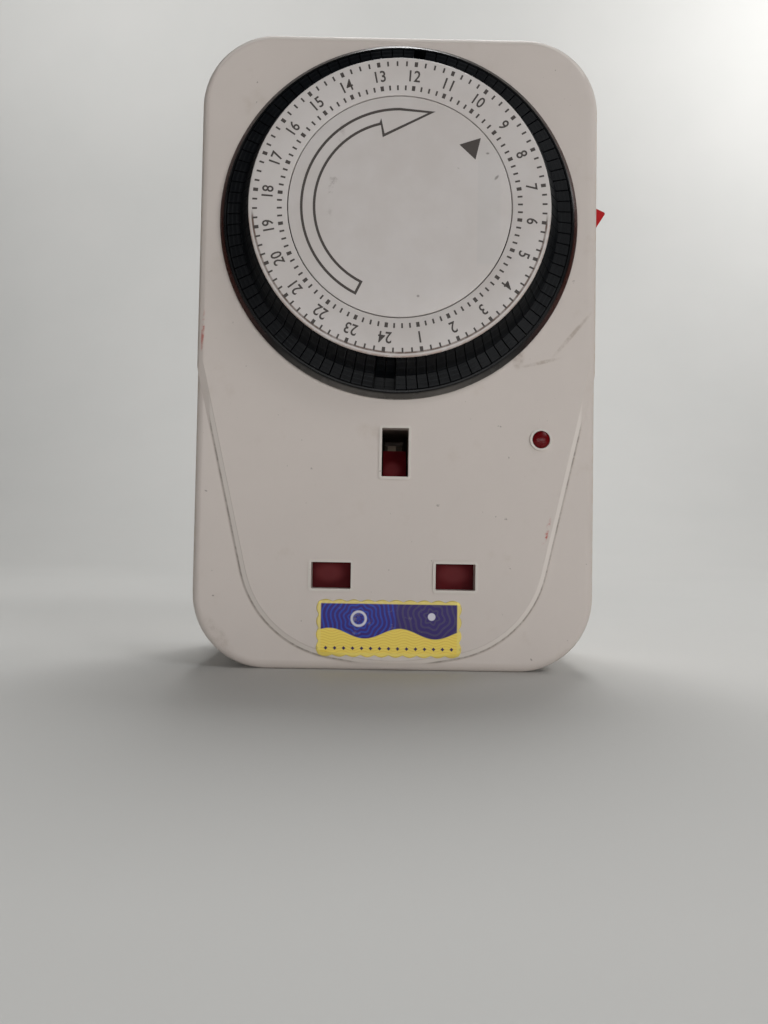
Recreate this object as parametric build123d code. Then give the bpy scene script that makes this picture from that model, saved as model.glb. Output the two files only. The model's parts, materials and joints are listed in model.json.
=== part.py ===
from build123d import *
import os
from math import acos, cos, degrees, pi, radians, sin, tan

# A plug-in 24-hour timer for a three-pin mains socket, drawn in millimetres.
# +X is right and +Z is up, seen from the front. The face looks along -Y.
# The origin lies on the rear face, in the middle of the plug-pin pattern.
# A depth is a distance in front of the rear face, so a plug pin's tip has a negative depth.

# Case
CASE_WIDTH = 72.5
CASE_DEPTH = 37.0
CASE_CORNER = 13.5
EDGE_ROUND = 1.8
REAR_EDGE_ROUND = 1.2
WALL = 2.2
REAR_DEPTH = 6.0
TONGUE_HEIGHT = 1.6
TONGUE_WALL = 1.1
PINS_BELOW_TOP = 31.1
FIT = 0.1
SLIP = 0.25

# Where things lie on the face, from the top end down to the lower end
DIAL_TOP_MARGIN = 2.73
DIAL_SIDE_MARGIN = 3.96
DIAL_SOCKET_GAP = 5.085
SOCKET_ABOVE_END = 17.0

# Raised U-shaped panel of the face, by how far its points lie from the sides and the lower end
PANEL_STEP = 0.8
PANEL_SLOPE = 1.4
PANEL_SIDE_TOP = (3.75, 74.6)
PANEL_CORNER = (-12.05, 5.0)
PANEL_FOOT = 0.7
PANEL_CORNER_ROUND = 19.5
PANEL_FOOT_ROUND = 40.0

# Plug pins and the socket, after the three-pin standard
PIN_SPACING = 22.23
LIVE_PIN = (6.35, 4.0)
LIVE_PIN_LENGTH = 17.7
EARTH_PIN = (4.0, 7.95)
EARTH_PIN_LENGTH = 22.7
PIN_TIP = 1.2
PIN_FLANGE_EDGE = 1.0
PIN_FLANGE_THICK = 1.2
PIN_ROOT = 5.5
SLEEVE_LENGTH = 9.5
SLEEVE_WALL = 0.5
LIVE_APERTURE = (7.1, 4.7)
EARTH_APERTURE = (4.8, 8.75)
APERTURE_ROUND = 0.15
APERTURE_RIM = 0.5
APERTURE_RIM_HEIGHT = 0.25

# Dial, with heights above the face and radii that follow from its rim inwards
DIAL_SET = 5.6
HOURS = 24
TAPPETS_PER_HOUR = 4
TAPPET_OFFSET = 0.5
DISC_TOP = 7.26
DISC_THICK = 0.9
HOUR_RING_OVERHANG = 0.78
HOUR_RING_WIDTH = 6.73
HOUR_RING_THICK = 0.6
HOUR_RING_ROUND = 0.25
WHEEL_WEB = 1.2
WHEEL_STEP = 0.35
WHEEL_FLOOR = (-2.6, -1.3)
RIM_WIDTH = 1.34
RIM_WALL = 0.5
RIM_CREST = 1.9
RIM_SHOULDER = 0.96
RIM_EASE = (0.12, 0.3)
RIM_ABOVE_FACE = 0.3
RIM_RUNNING_GAP = 0.3
HUB_WALL = 2.0
POST_OUTER = 4.0
POST_INNER = 3.0
SHAFT_FIT = 0.06

# Tappets, with heights above the face while they are up
TAPPET_GAP = 0.12
TAPPET_WALL_GAP = 0.2
TAPPET_TOP = 6.45
TAPPET_TOP_WIDTH = 0.65
TAPPET_KNEE = (2.55, 2.36)
TAPPET_FOOT_HEIGHT = 1.97
TAPPET_UNDERSIDE = 1.2
TAPPET_TRAVEL = 2.4
LEG_FROM_RIM = 1.4
LEG_DEPTH = 2.7
LEG_FROM_WALL = 1.45
LEG_WIDTH = 1.0
LEG_END = -3.0
LEG_CLEAR = 0.15
PUSHED = {0: 2, 12: 1}

# Gear train
MODULE = 0.5
PRESSURE_ANGLE = 20.0
BACKLASH = 0.07
CENTRE_EASE = 0.05
DIAL_TEETH = 56
REDUCTION_PINION_TEETH = 16
REDUCTION_WHEEL_TEETH = 28
MOTOR_PINION_TEETH = 14
REDUCTION_BEARING = 150.0
MOTOR_BEARING = 30.0
ARBOR_RADIUS = 1.0
ARBOR_HOLE_EASE = 0.5
DIAL_GEAR_THICK = 1.8
REDUCTION_WHEEL_THICK = 1.4
GEAR_GAP = 0.4

# Mechanism plate and motor
PLATE_BEHIND_FACE = 7.2
PLATE_THICK = 1.8
PLATE_EDGE_GAP = 0.5
PLATE_BELOW_RIM = 1.7
PLATE_POST_INSET = (7.75, 4.8)
PLATE_SCREW_RADIUS = 1.0
PLATE_SCREW_HEAD = (2.2, 1.3)
PLATE_SCREW_LENGTH = 4.5
PLATE_SCREW_SLOT = (0.6, 0.5)
MOTOR_RADIUS = 15.0
MOTOR_LENGTH = 13.0
MOTOR_CAP_RADIUS = 6.0
MOTOR_CAP_LENGTH = 1.5
MOTOR_EAR_REACH = 19.0
MOTOR_EAR_WIDTH = 6.0
MOTOR_EAR_THICK = 1.2
MOTOR_EAR_HOLE = 1.6
MOTOR_EAR_BEARING = 20.0
MOTOR_EDGE = 1.0
MOTOR_TERMINALS = (9.0, 3.5, 7.0)
MOTOR_BORE_DEPTH = 2.0

# Follower lever, microswitch and override switch
LEVER_ARM = 7.85
LEVER_PIVOT_ABOVE_PLATE = 0.4
LEVER_BEHIND_PIVOT = 0.7
LEVER_HALF_HEIGHT = 2.6
LEVER_THICK = 1.4
LEVER_BARREL = 1.8
TRUNNION_RADIUS = 0.8
TRUNNION_LENGTH = 1.8
EAR_THICK = 1.8
LEVER_TIP_FROM_LEG = 0.75
LEVER_TIP_GAP = 0.4
LEVER_TIP_HALF_HEIGHT = 1.5
LEVER_TIP_RISE = 0.5
NOSE_HALF_HEIGHTS = (2.2, 0.5)
WINDOW_EDGE = 1.0
EAR_ABOVE_PIVOT = 1.2
NOSE_GAP = 0.3
LEVER_TURN = 6.5
MICROSWITCH = (10.3, 27.8, 16.3)
MICROSWITCH_FROM_PIVOT = 1.5
MICROSWITCH_CHAMFER = 0.6
MICROSWITCH_HOLES = (1.55, 22.2, 12.0)
PLUNGER_RADIUS = 1.2
PLUNGER_BORE = 3.0
PLUNGER_EDGE = 0.4
PLUNGER_TRAVEL = 0.75
PLUNGER_REACH = 1.3
SWITCH_TRAVEL = 4.5
SWITCH_BEHIND_FACE = 8.0
SWITCH_ABOVE_DIAL = 6.1
THUMB_HEIGHT = 4.6
THUMB_REACH = 2.9
THUMB_DROP = 1.2
THUMB_FOOT = 0.5
THUMB_ROUND = 0.35
THUMB_WIDTH = 5.0
NECK_HEIGHT = 3.2
NECK_WIDTH = 2.0
NECK_BELOW_TOP = 1.0
SWITCH_FLANGE_THICK = 1.0
SWITCH_FLANGE_WIDTH = 7.0
SWITCH_FLANGE_COVER = 0.6
RAMP_THICK = 1.9
RAMP_FLAT = 1.0
RAMP_LEAD = 0.5

# Shutter and its spring
SHUTTER_TRAVEL = 5.2
SHUTTER_THICK = 1.5
CROSSBAR_HALF_WIDTH = 15.3
CROSSBAR_COVER = 1.05
CROSSBAR_TOP_COVER = 0.15
STEM_HALF_WIDTH = 2.2
RAMP_TOP_ABOVE_EARTH = 1.1
RAMP_DEPTH = 4.3
RAMP_SOLE = 2.6
SPRING_HALF_WIDTH = 2.8
SPRING_STRIP = 0.5
SPRING_WIDTH = 1.0
SPRING_TURNS = 4
SPRING_LENGTH = 7.9
GUIDE_RIB = 1.2
GUIDE_RIB_ABOVE_LIVE = 5.0
GUIDE_PAD = 8.0

# Socket block, contacts and strips
BLOCK_HALF_WIDTH = 19.0
BLOCK_THICK = 19.8
BLOCK_SPACER = 2.2
BLOCK_ABOVE_EARTH = 7.2
BLOCK_BELOW_LIVE = 11.6
CONTACT_GRIP = 3.7
CONTACT_THICK = 0.8
CONTACT_WIDTH = 7.4
WEB_IN_BLOCK = 2.2
CONTACT_EASE = 0.6
POCKET_LIVE = (9.4, 7.6)
POCKET_EARTH = (7.0, 9.4)
STRIP_THICK = 0.8
STRIP_LAP = 2.5
STRIP_WIDTH = 5.0
OUT_STRIP_BEHIND = 3.0
OUT_STRIP_WIDTH = 4.0
POST_RADIUS = 2.0
BLOCK_POST_X = 16.0
BLOCK_POST_INSET = 3.0
BLOCK_CORNER = 2.0
BLOCK_FLOOR = 1.2
SHUTTER_RAMP_GAP = 0.2
LEAF_FLARE = 1.5

# Screws and bosses
SCREW_INSET = 6.95
BOSS_RADIUS = 3.2
BOSS_SHOULDER = 4.4
SCREW_RADIUS = 1.3
SCREW_HEAD_RADIUS = 2.6
SCREW_HEAD_THICK = 1.8
SCREW_RECESS = 0.8
SCREW_LENGTH = 22.0
SCREW_HOLE_EASE = 0.1
SCREW_CROSS = (3.2, 0.7, 0.9)
SCREW_HOLE_DEEPER = 2.0
REAR_BOSS_RADIUS = 4.2

# Neon indicator
NEON_FROM_SIDE = 10.07
NEON_ABOVE_EARTH = 2.7
LENS_RADIUS = 1.5
LENS_PROUD = 0.75
LENS_FLANGE_THICK = 0.8
COLLAR_RADIUS = 2.0
COLLAR_HEIGHT = 0.35
LAMP_RADIUS = 2.0
LAMP_LENGTH = 10.0
LAMP_EDGE = 1.0
LAMP_CUP_WALL = 0.9
LAMP_CUP_LENGTH = 5.0
RESISTOR_RADIUS = 1.1
RESISTOR_LENGTH = 6.5

# Places on the face that follow from the sizes above
HALF_WIDTH = CASE_WIDTH / 2
HALF_INSIDE = HALF_WIDTH - WALL
RIM_OUTER = HALF_WIDTH - DIAL_SIDE_MARGIN
CASE_TOP = PINS_BELOW_TOP
DIAL_Z = CASE_TOP - DIAL_TOP_MARGIN - RIM_OUTER
EARTH_SOCKET_Z = DIAL_Z - RIM_OUTER - DIAL_SOCKET_GAP - EARTH_APERTURE[1] / 2
LIVE_SOCKET_Z = EARTH_SOCKET_Z - PIN_SPACING
CASE_BOTTOM = LIVE_SOCKET_Z - SOCKET_ABOVE_END
CASE_MIDDLE = (CASE_TOP + CASE_BOTTOM) / 2
CASE_HEIGHT = CASE_TOP - CASE_BOTTOM
LIVE_X = PIN_SPACING / 2
LIVE_PIN_Z = -PIN_SPACING / 2
EARTH_PIN_Z = PIN_SPACING / 2
NEON_X = HALF_WIDTH - NEON_FROM_SIDE
NEON_Z = EARTH_SOCKET_Z + NEON_ABOVE_EARTH
SCREW_X = HALF_WIDTH - SCREW_INSET
SCREW_TOP_Z = CASE_TOP - SCREW_INSET
SCREW_BOTTOM_Z = CASE_BOTTOM + SCREW_INSET
SCREW_PLACES = [(x, z) for x in (-SCREW_X, SCREW_X) for z in (SCREW_BOTTOM_Z, SCREW_TOP_Z)]

# Radii of the dial
RIM_INNER = RIM_OUTER - RIM_WIDTH
TAPPET_FOOT_END = RIM_INNER - 2 * SHAFT_FIT
LEG_OUTER = RIM_INNER - LEG_FROM_RIM
LEG_INNER = LEG_OUTER - LEG_DEPTH
WHEEL_WALL_OUTER = LEG_INNER - LEG_FROM_WALL
HOUR_RING_OUTER = WHEEL_WALL_OUTER + HOUR_RING_OVERHANG
HOUR_RING_INNER = HOUR_RING_OUTER - HOUR_RING_WIDTH
KNEE_RADIUS = RIM_INNER - TAPPET_KNEE[0]
HUB_RADIUS = POST_OUTER + SHAFT_FIT + HUB_WALL
TAPPET_PITCH = 360.0 / (HOURS * TAPPETS_PER_HOUR)

# Depths, which count from the rear face forwards
FACE = CASE_DEPTH
FACE_INSIDE = FACE - PANEL_STEP - WALL
RING_BACK = FACE + DISC_TOP - HOUR_RING_THICK
DISC_BACK = FACE + DISC_TOP - DISC_THICK
WHEEL_FLOOR_BACK = FACE + WHEEL_FLOOR[0]
WHEEL_FLOOR_FRONT = FACE + WHEEL_FLOOR[1]
DIAL_GEAR_FRONT = WHEEL_FLOOR_BACK - GEAR_GAP
DIAL_GEAR_BACK = DIAL_GEAR_FRONT - DIAL_GEAR_THICK
LEG_PUSHED_END = FACE + LEG_END - TAPPET_TRAVEL
PLATE_FRONT = FACE - PLATE_BEHIND_FACE
PLATE_BACK = PLATE_FRONT - PLATE_THICK
REDUCTION_WHEEL_BACK = PLATE_FRONT + GEAR_GAP
REDUCTION_WHEEL_FRONT = REDUCTION_WHEEL_BACK + REDUCTION_WHEEL_THICK
LEVER_PIVOT_DEPTH = PLATE_FRONT + LEVER_PIVOT_ABOVE_PLATE
LEVER_BACK = LEVER_PIVOT_DEPTH - LEVER_BEHIND_PIVOT
LEVER_FRONT = LEVER_BACK + LEVER_THICK
SWITCH_DEPTH = FACE - SWITCH_BEHIND_FACE
BLOCK_FRONT = FACE_INSIDE - BLOCK_SPACER
BLOCK_BACK = BLOCK_FRONT - BLOCK_THICK
CONTACT_WEB = BLOCK_BACK + WEB_IN_BLOCK
SHUTTER_FRONT = FACE_INSIDE - SLIP
LAMP_FRONT = FACE_INSIDE - LENS_FLANGE_THICK

# Places inside the case
PLATE_LOW_Z = DIAL_Z - RIM_OUTER - PLATE_BELOW_RIM
PLATE_POST_X = HALF_WIDTH - PLATE_POST_INSET[0]
PLATE_POSTS = [(x, PLATE_LOW_Z + PLATE_POST_INSET[1]) for x in (-PLATE_POST_X, PLATE_POST_X)]
BLOCK_TOP_Z = EARTH_SOCKET_Z + BLOCK_ABOVE_EARTH
BLOCK_BOTTOM_Z = LIVE_SOCKET_Z - BLOCK_BELOW_LIVE
LEVER_PIVOT_X = LEG_INNER - LEVER_ARM
FLANGE_OUTER = HALF_INSIDE - SLIP
FLANGE_INNER = FLANGE_OUTER - SWITCH_FLANGE_THICK
LEVER_TIP_START = LEG_OUTER + LEVER_TIP_FROM_LEG
LEVER_TIP_END = FLANGE_INNER - LEVER_TIP_GAP
MICROSWITCH_LEFT = LEVER_PIVOT_X + MICROSWITCH_FROM_PIVOT
PLUNGER_X = MICROSWITCH_LEFT + MICROSWITCH[0] / 2
MICROSWITCH_BACK = PLATE_BACK - MICROSWITCH[2]
PLUNGER_BORE_END = PLATE_BACK - PLUNGER_BORE
CROSSBAR_BOTTOM = LIVE_SOCKET_Z - LIVE_APERTURE[1] / 2 - CROSSBAR_COVER
SHUTTER_RAMP_FOOT = EARTH_SOCKET_Z - EARTH_APERTURE[1] / 2 - SHUTTER_RAMP_GAP


def polar(radius, bearing):
    """X and Z of a point at a radius and an anticlockwise bearing from +X."""
    return radius * cos(radians(bearing)), radius * sin(radians(bearing))


def centre_distance(teeth, other_teeth):
    return MODULE * (teeth + other_teeth) / 2 + CENTRE_EASE


REDUCTION_REACH = polar(centre_distance(DIAL_TEETH, REDUCTION_PINION_TEETH), REDUCTION_BEARING)
REDUCTION_X, REDUCTION_Z = REDUCTION_REACH[0], DIAL_Z + REDUCTION_REACH[1]
MOTOR_REACH = polar(centre_distance(REDUCTION_WHEEL_TEETH, MOTOR_PINION_TEETH), MOTOR_BEARING)
MOTOR_X, MOTOR_Z = REDUCTION_X + MOTOR_REACH[0], REDUCTION_Z + MOTOR_REACH[1]


def slab(outline, back, front):
    """An outline in X and Z, made solid from one depth to another."""
    return extrude(Plane.XZ.offset(back) * outline, front - back, dir=(0, -1, 0))


def block(x_low, x_high, z_low, z_high, back, front):
    outline = Pos((x_low + x_high) / 2, (z_low + z_high) / 2) * Rectangle(x_high - x_low, z_high - z_low)
    return slab(outline, back, front)


def disc(x, z, radius, back, front):
    return slab(Pos(x, z) * Circle(radius), back, front)


def across(points, x_low, x_high):
    """An outline in Z and depth, made solid from one X to another."""
    plane = Plane(origin=(x_low, 0, 0), x_dir=(0, 0, 1), z_dir=(1, 0, 0))
    return extrude(plane * Polygon(*points, align=None), x_high - x_low, dir=(1, 0, 0))


def upright(points, z_low, z_high):
    """An outline in X and depth, made solid from one Z to another."""
    plane = Plane(origin=(0, 0, z_low), x_dir=(1, 0, 0), z_dir=(0, 0, 1))
    outline = plane * Polygon(*[(x, -depth) for x, depth in points], align=None)
    return extrude(outline, z_high - z_low, dir=(0, 0, 1))


def turned(points, arc=360.0):
    """A profile in radius and depth, turned about the Y axis and centred on the bearing of +Z."""
    plane = Plane(origin=(0, 0, 0), x_dir=(1, 0, 0), z_dir=(0, 0, -1))
    body = revolve(plane * Polygon(*points, align=None), Axis.Y, arc)
    return Rot(0, -90 - arc / 2, 0) * body


def case_outline(inset):
    return Pos(0, CASE_MIDDLE) * RectangleRounded(
        CASE_WIDTH - 2 * inset, CASE_HEIGHT - 2 * inset, CASE_CORNER - inset
    )


def front_edges(body):
    return body.faces().sort_by(Axis.Y)[0].edges()


def panel_outline(grow):
    """The raised panel's U, wider than the case above and narrowing to a shallow point below."""
    side, corner = [(HALF_WIDTH + x, CASE_BOTTOM + z) for x, z in (PANEL_SIDE_TOP, PANEL_CORNER)]
    over = CASE_TOP + CASE_HEIGHT
    right = [corner, side, (side[0], over)]
    left = [(-x, z) for x, z in reversed(right)]
    outline = Polygon((0, CASE_BOTTOM + PANEL_FOOT), *right, *left, align=None)
    foot, *corners = outline.vertices().sort_by(Axis.Y)[:3]
    outline = fillet(corners, PANEL_CORNER_ROUND)
    outline = fillet(outline.vertices().sort_by(Axis.Y)[:1], PANEL_FOOT_ROUND)
    return offset(outline, grow, kind=Kind.INTERSECTION)


def case_front(front):
    body = slab(case_outline(0), REAR_DEPTH, front)
    return fillet(front_edges(body), EDGE_ROUND)


def aperture(size, ease=0.0):
    return RectangleRounded(size[0] + 2 * ease, size[1] + 2 * ease, APERTURE_ROUND + ease)


SOCKETS = [
    (LIVE_X, LIVE_SOCKET_Z, LIVE_APERTURE),
    (-LIVE_X, LIVE_SOCKET_Z, LIVE_APERTURE),
    (0.0, EARTH_SOCKET_Z, EARTH_APERTURE),
]


def switch_neck():
    """Low and high Z of the override switch's neck while the switch is up."""
    high = DIAL_Z + SWITCH_ABOVE_DIAL - NECK_BELOW_TOP
    return high - NECK_HEIGHT, high


def switch_slot():
    """Low and high Z of the slot that the neck runs in."""
    low, high = switch_neck()
    return low - SWITCH_TRAVEL - SLIP, high + SLIP


def switch_flange():
    """Low and high Z of the flange that keeps the slot covered over the whole travel."""
    low, high = switch_slot()
    return low - SWITCH_FLANGE_COVER, high + SWITCH_TRAVEL + SWITCH_FLANGE_COVER


def front_cover():
    raised = loft(
        [
            Plane.XZ.offset(FACE - PANEL_STEP) * panel_outline(PANEL_SLOPE / 2),
            Plane.XZ.offset(FACE) * panel_outline(-PANEL_SLOPE / 2),
        ],
        ruled=True,
    )
    under = slab(panel_outline(PANEL_SLOPE / 2), REAR_DEPTH, FACE - PANEL_STEP)
    body = case_front(FACE - PANEL_STEP) + (case_front(FACE) & (raised + under))
    body -= slab(case_outline(WALL), REAR_DEPTH, FACE_INSIDE)
    body -= disc(0, DIAL_Z, RIM_INNER + RIM_WALL + RIM_RUNNING_GAP, 0, FACE + 1)

    for x, z in SCREW_PLACES:
        body += disc(x, z, BOSS_RADIUS, REAR_DEPTH + FIT, FACE_INSIDE)
        if z == SCREW_TOP_Z:
            body += disc(x, z, BOSS_SHOULDER, PLATE_FRONT, FACE_INSIDE)
        screw_end = SCREW_RECESS + SCREW_LENGTH + SCREW_HOLE_DEEPER
        body -= disc(x, z, SCREW_RADIUS + SCREW_HOLE_EASE, 0, screw_end)
    for x, z in PLATE_POSTS:
        body += disc(x, z, BOSS_RADIUS, PLATE_FRONT, FACE_INSIDE)
        hole_end = PLATE_BACK + PLATE_SCREW_LENGTH + SLIP
        body -= disc(x, z, PLATE_SCREW_RADIUS + SCREW_HOLE_EASE, PLATE_FRONT, hole_end)

    for x, z, size in SOCKETS:
        rim = Pos(x, z) * aperture(size, APERTURE_RIM)
        body += slab(rim, FACE - WALL, FACE + APERTURE_RIM_HEIGHT)
        body -= slab(Pos(x, z) * aperture(size), FACE_INSIDE - 1, FACE + 1)

    rib = CROSSBAR_HALF_WIDTH + SLIP
    rib_top = LIVE_SOCKET_Z + GUIDE_RIB_ABOVE_LIVE
    pad_low = BLOCK_TOP_Z - GUIDE_PAD
    for x_low in (-rib - GUIDE_RIB, rib):
        body += block(x_low, x_low + GUIDE_RIB, BLOCK_BOTTOM_Z, rib_top, BLOCK_FRONT, FACE_INSIDE)
        body += block(x_low, x_low + GUIDE_RIB, pad_low, BLOCK_TOP_Z, BLOCK_FRONT, FACE_INSIDE)
    seat_half = SPRING_HALF_WIDTH + GUIDE_RIB
    seat = CROSSBAR_BOTTOM - SPRING_LENGTH
    body += block(-seat_half, seat_half, seat - GUIDE_RIB, seat, BLOCK_FRONT, FACE_INSIDE)

    slot_low, slot_high = switch_slot()
    body -= block(
        HALF_INSIDE - 1,
        HALF_WIDTH + 1,
        slot_low,
        slot_high,
        SWITCH_DEPTH - NECK_WIDTH / 2 - SLIP,
        SWITCH_DEPTH + NECK_WIDTH / 2 + SLIP,
    )

    body += disc(NEON_X, NEON_Z, COLLAR_RADIUS, FACE - WALL, FACE + COLLAR_HEIGHT)
    cup = LAMP_RADIUS + FIT + LAMP_CUP_WALL
    body += disc(NEON_X, NEON_Z, cup, FACE_INSIDE - LAMP_CUP_LENGTH, FACE_INSIDE)
    body -= disc(NEON_X, NEON_Z, LENS_RADIUS + FIT, FACE_INSIDE - 1, FACE + 1)
    body -= disc(NEON_X, NEON_Z, LAMP_RADIUS + FIT, 0, FACE_INSIDE)
    return body


def rear_cover():
    body = slab(case_outline(0), 0, REAR_DEPTH)
    body = fillet(body.faces().sort_by(Axis.Y)[-1].edges(), REAR_EDGE_ROUND)
    body -= slab(case_outline(WALL), WALL, REAR_DEPTH)
    tongue = slab(case_outline(WALL + FIT), WALL, REAR_DEPTH + TONGUE_HEIGHT)
    tongue -= slab(case_outline(WALL + FIT + TONGUE_WALL), WALL, REAR_DEPTH + TONGUE_HEIGHT)
    tongue_root = case_outline(WALL - FIT) - case_outline(WALL + FIT + TONGUE_WALL)
    body += tongue + slab(tongue_root, WALL, REAR_DEPTH)
    for x, z in SCREW_PLACES:
        body += disc(x, z, REAR_BOSS_RADIUS, WALL, REAR_DEPTH)
        body -= disc(x, z, BOSS_RADIUS + 2 * FIT, REAR_DEPTH, REAR_DEPTH + TONGUE_HEIGHT)
        body -= disc(x, z, SCREW_RADIUS + SCREW_HOLE_EASE, 0, REAR_DEPTH)
        body -= disc(x, z, SCREW_HEAD_RADIUS + 2 * FIT, 0, SCREW_RECESS + SCREW_HEAD_THICK)
    for x in (-BLOCK_POST_X, BLOCK_POST_X):
        for z in (BLOCK_TOP_Z - BLOCK_POST_INSET, BLOCK_BOTTOM_Z + BLOCK_POST_INSET):
            body += disc(x, z, POST_RADIUS, WALL, BLOCK_BACK)
    for x in (-LIVE_X, LIVE_X):
        body -= slab(Pos(x, LIVE_PIN_Z) * Rectangle(*LIVE_PIN), 0, WALL)
    body -= slab(Pos(0, EARTH_PIN_Z) * Rectangle(*EARTH_PIN), 0, WALL)
    return body


def cover_screws():
    screws = []
    cross_long, cross_wide, cross_deep = SCREW_CROSS
    for x, z in SCREW_PLACES:
        head_back, head_front = SCREW_RECESS, SCREW_RECESS + SCREW_HEAD_THICK
        screw = disc(x, z, SCREW_HEAD_RADIUS, head_back, head_front)
        screw += disc(x, z, SCREW_RADIUS, head_front, SCREW_RECESS + SCREW_LENGTH)
        cross = Pos(x, z) * (Rectangle(cross_long, cross_wide) + Rectangle(cross_wide, cross_long))
        screws.append(screw - slab(cross, head_back, head_back + cross_deep))
    return Compound(children=screws)


def live_pin(x):
    flange = [size + 2 * PIN_FLANGE_EDGE for size in LIVE_PIN]
    core = [size - 2 * SLEEVE_WALL for size in LIVE_PIN]
    blade = slab(Pos(x, LIVE_PIN_Z) * Rectangle(*LIVE_PIN), -LIVE_PIN_LENGTH, -SLEEVE_LENGTH)
    blade = chamfer(blade.faces().sort_by(Axis.Y)[-1].edges(), PIN_TIP, PIN_TIP * 0.6)
    body = blade + slab(Pos(x, LIVE_PIN_Z) * Rectangle(*core), -SLEEVE_LENGTH, PIN_ROOT)
    return body + slab(Pos(x, LIVE_PIN_Z) * Rectangle(*flange), WALL, WALL + PIN_FLANGE_THICK)


def sleeve(x):
    core = [size - 2 * SLEEVE_WALL for size in LIVE_PIN]
    tube = Rectangle(*LIVE_PIN) - Rectangle(*core)
    return slab(Pos(x, LIVE_PIN_Z) * tube, -SLEEVE_LENGTH, WALL)


def pin_earth():
    flange = [size + 2 * PIN_FLANGE_EDGE for size in EARTH_PIN]
    blade = slab(Pos(0, EARTH_PIN_Z) * Rectangle(*EARTH_PIN), -EARTH_PIN_LENGTH, 0)
    body = chamfer(blade.faces().sort_by(Axis.Y)[-1].edges(), PIN_TIP, PIN_TIP * 0.6)
    body += slab(Pos(0, EARTH_PIN_Z) * Rectangle(*EARTH_PIN), 0, PIN_ROOT)
    return body + slab(Pos(0, EARTH_PIN_Z) * Rectangle(*flange), WALL, WALL + PIN_FLANGE_THICK)


def involute_angle(radius, base):
    """How far round an involute has come from its base circle, in radians."""
    tilt = acos(min(1.0, base / radius))
    return tan(tilt) - tilt


def gear_outline(teeth, towards):
    """Spur gear in X and Z about its own centre, with a tooth at the bearing named."""
    pitch = MODULE * teeth / 2
    base = pitch * cos(radians(PRESSURE_ANGLE))
    tip, root = pitch + 0.9 * MODULE, pitch - 1.25 * MODULE
    half = pi / (2 * teeth) - BACKLASH / (2 * pitch) + involute_angle(pitch, base)
    radii = [root, max(base, root + 0.1 * MODULE), pitch, tip]
    flank = [(radius, half - involute_angle(max(radius, base), base)) for radius in radii]
    points = []
    for tooth in range(teeth):
        middle = 2 * pi * tooth / teeth + radians(towards)
        points += [polar(radius, degrees(middle - angle)) for radius, angle in flank]
        points += [polar(radius, degrees(middle + angle)) for radius, angle in reversed(flank)]
    return Polygon(*points, align=None)


def dial_wheel():
    step = HOUR_RING_INNER + WHEEL_STEP
    inner_web = DISC_BACK - SLIP - WHEEL_WEB
    bore = POST_OUTER + SHAFT_FIT
    wall_inner = WHEEL_WALL_OUTER - WHEEL_WEB
    shell = turned(
        [
            (bore, PLATE_FRONT + SLIP),
            (HUB_RADIUS, PLATE_FRONT + SLIP),
            (HUB_RADIUS, inner_web),
            (step, inner_web),
            (step + WHEEL_WEB, RING_BACK - WHEEL_WEB),
            (wall_inner, RING_BACK - WHEEL_WEB),
            (wall_inner, WHEEL_FLOOR_BACK),
            (WHEEL_WALL_OUTER, WHEEL_FLOOR_BACK),
            (WHEEL_WALL_OUTER, RING_BACK),
            (step, RING_BACK),
            (step, inner_web + WHEEL_WEB),
            (bore, inner_web + WHEEL_WEB),
        ]
    )
    skirt_foot = FACE + RIM_ABOVE_FACE
    ease_across, ease_down = RIM_EASE
    rim = turned(
        [
            (RIM_INNER, WHEEL_FLOOR_BACK),
            (RIM_INNER + RIM_WALL, WHEEL_FLOOR_BACK),
            (RIM_INNER + RIM_WALL, skirt_foot),
            (RIM_OUTER, skirt_foot),
            (RIM_OUTER, FACE + RIM_SHOULDER - ease_down),
            (RIM_OUTER - ease_across, FACE + RIM_SHOULDER),
            (RIM_INNER + ease_down, FACE + RIM_CREST),
            (RIM_INNER, FACE + RIM_CREST),
        ]
    )
    hole = Pos((LEG_INNER + LEG_OUTER) / 2, 0) * Rectangle(
        LEG_OUTER - LEG_INNER + 2 * LEG_CLEAR, LEG_WIDTH + 2 * LEG_CLEAR
    )
    holes = [Rot(0, 0, 90 - bearing) * hole for bearing in tappet_bearings()]
    floor = Circle(RIM_INNER + RIM_WALL / 2) - Circle(WHEEL_WALL_OUTER - WHEEL_WEB / 2) - holes
    body = shell + rim + slab(floor, WHEEL_FLOOR_BACK, WHEEL_FLOOR_FRONT)
    gear = gear_outline(DIAL_TEETH, REDUCTION_BEARING) - Circle(HUB_RADIUS - HUB_WALL / 2)
    body += slab(gear, DIAL_GEAR_BACK, DIAL_GEAR_FRONT)
    return Pos(0, 0, DIAL_Z) * body


def tappet_bearings():
    """Each tappet's bearing, clockwise from the top, from midnight on."""
    first = DIAL_SET + 180 + TAPPET_OFFSET
    return [first - TAPPET_PITCH * k for k in range(HOURS * TAPPETS_PER_HOUR)]


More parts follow.
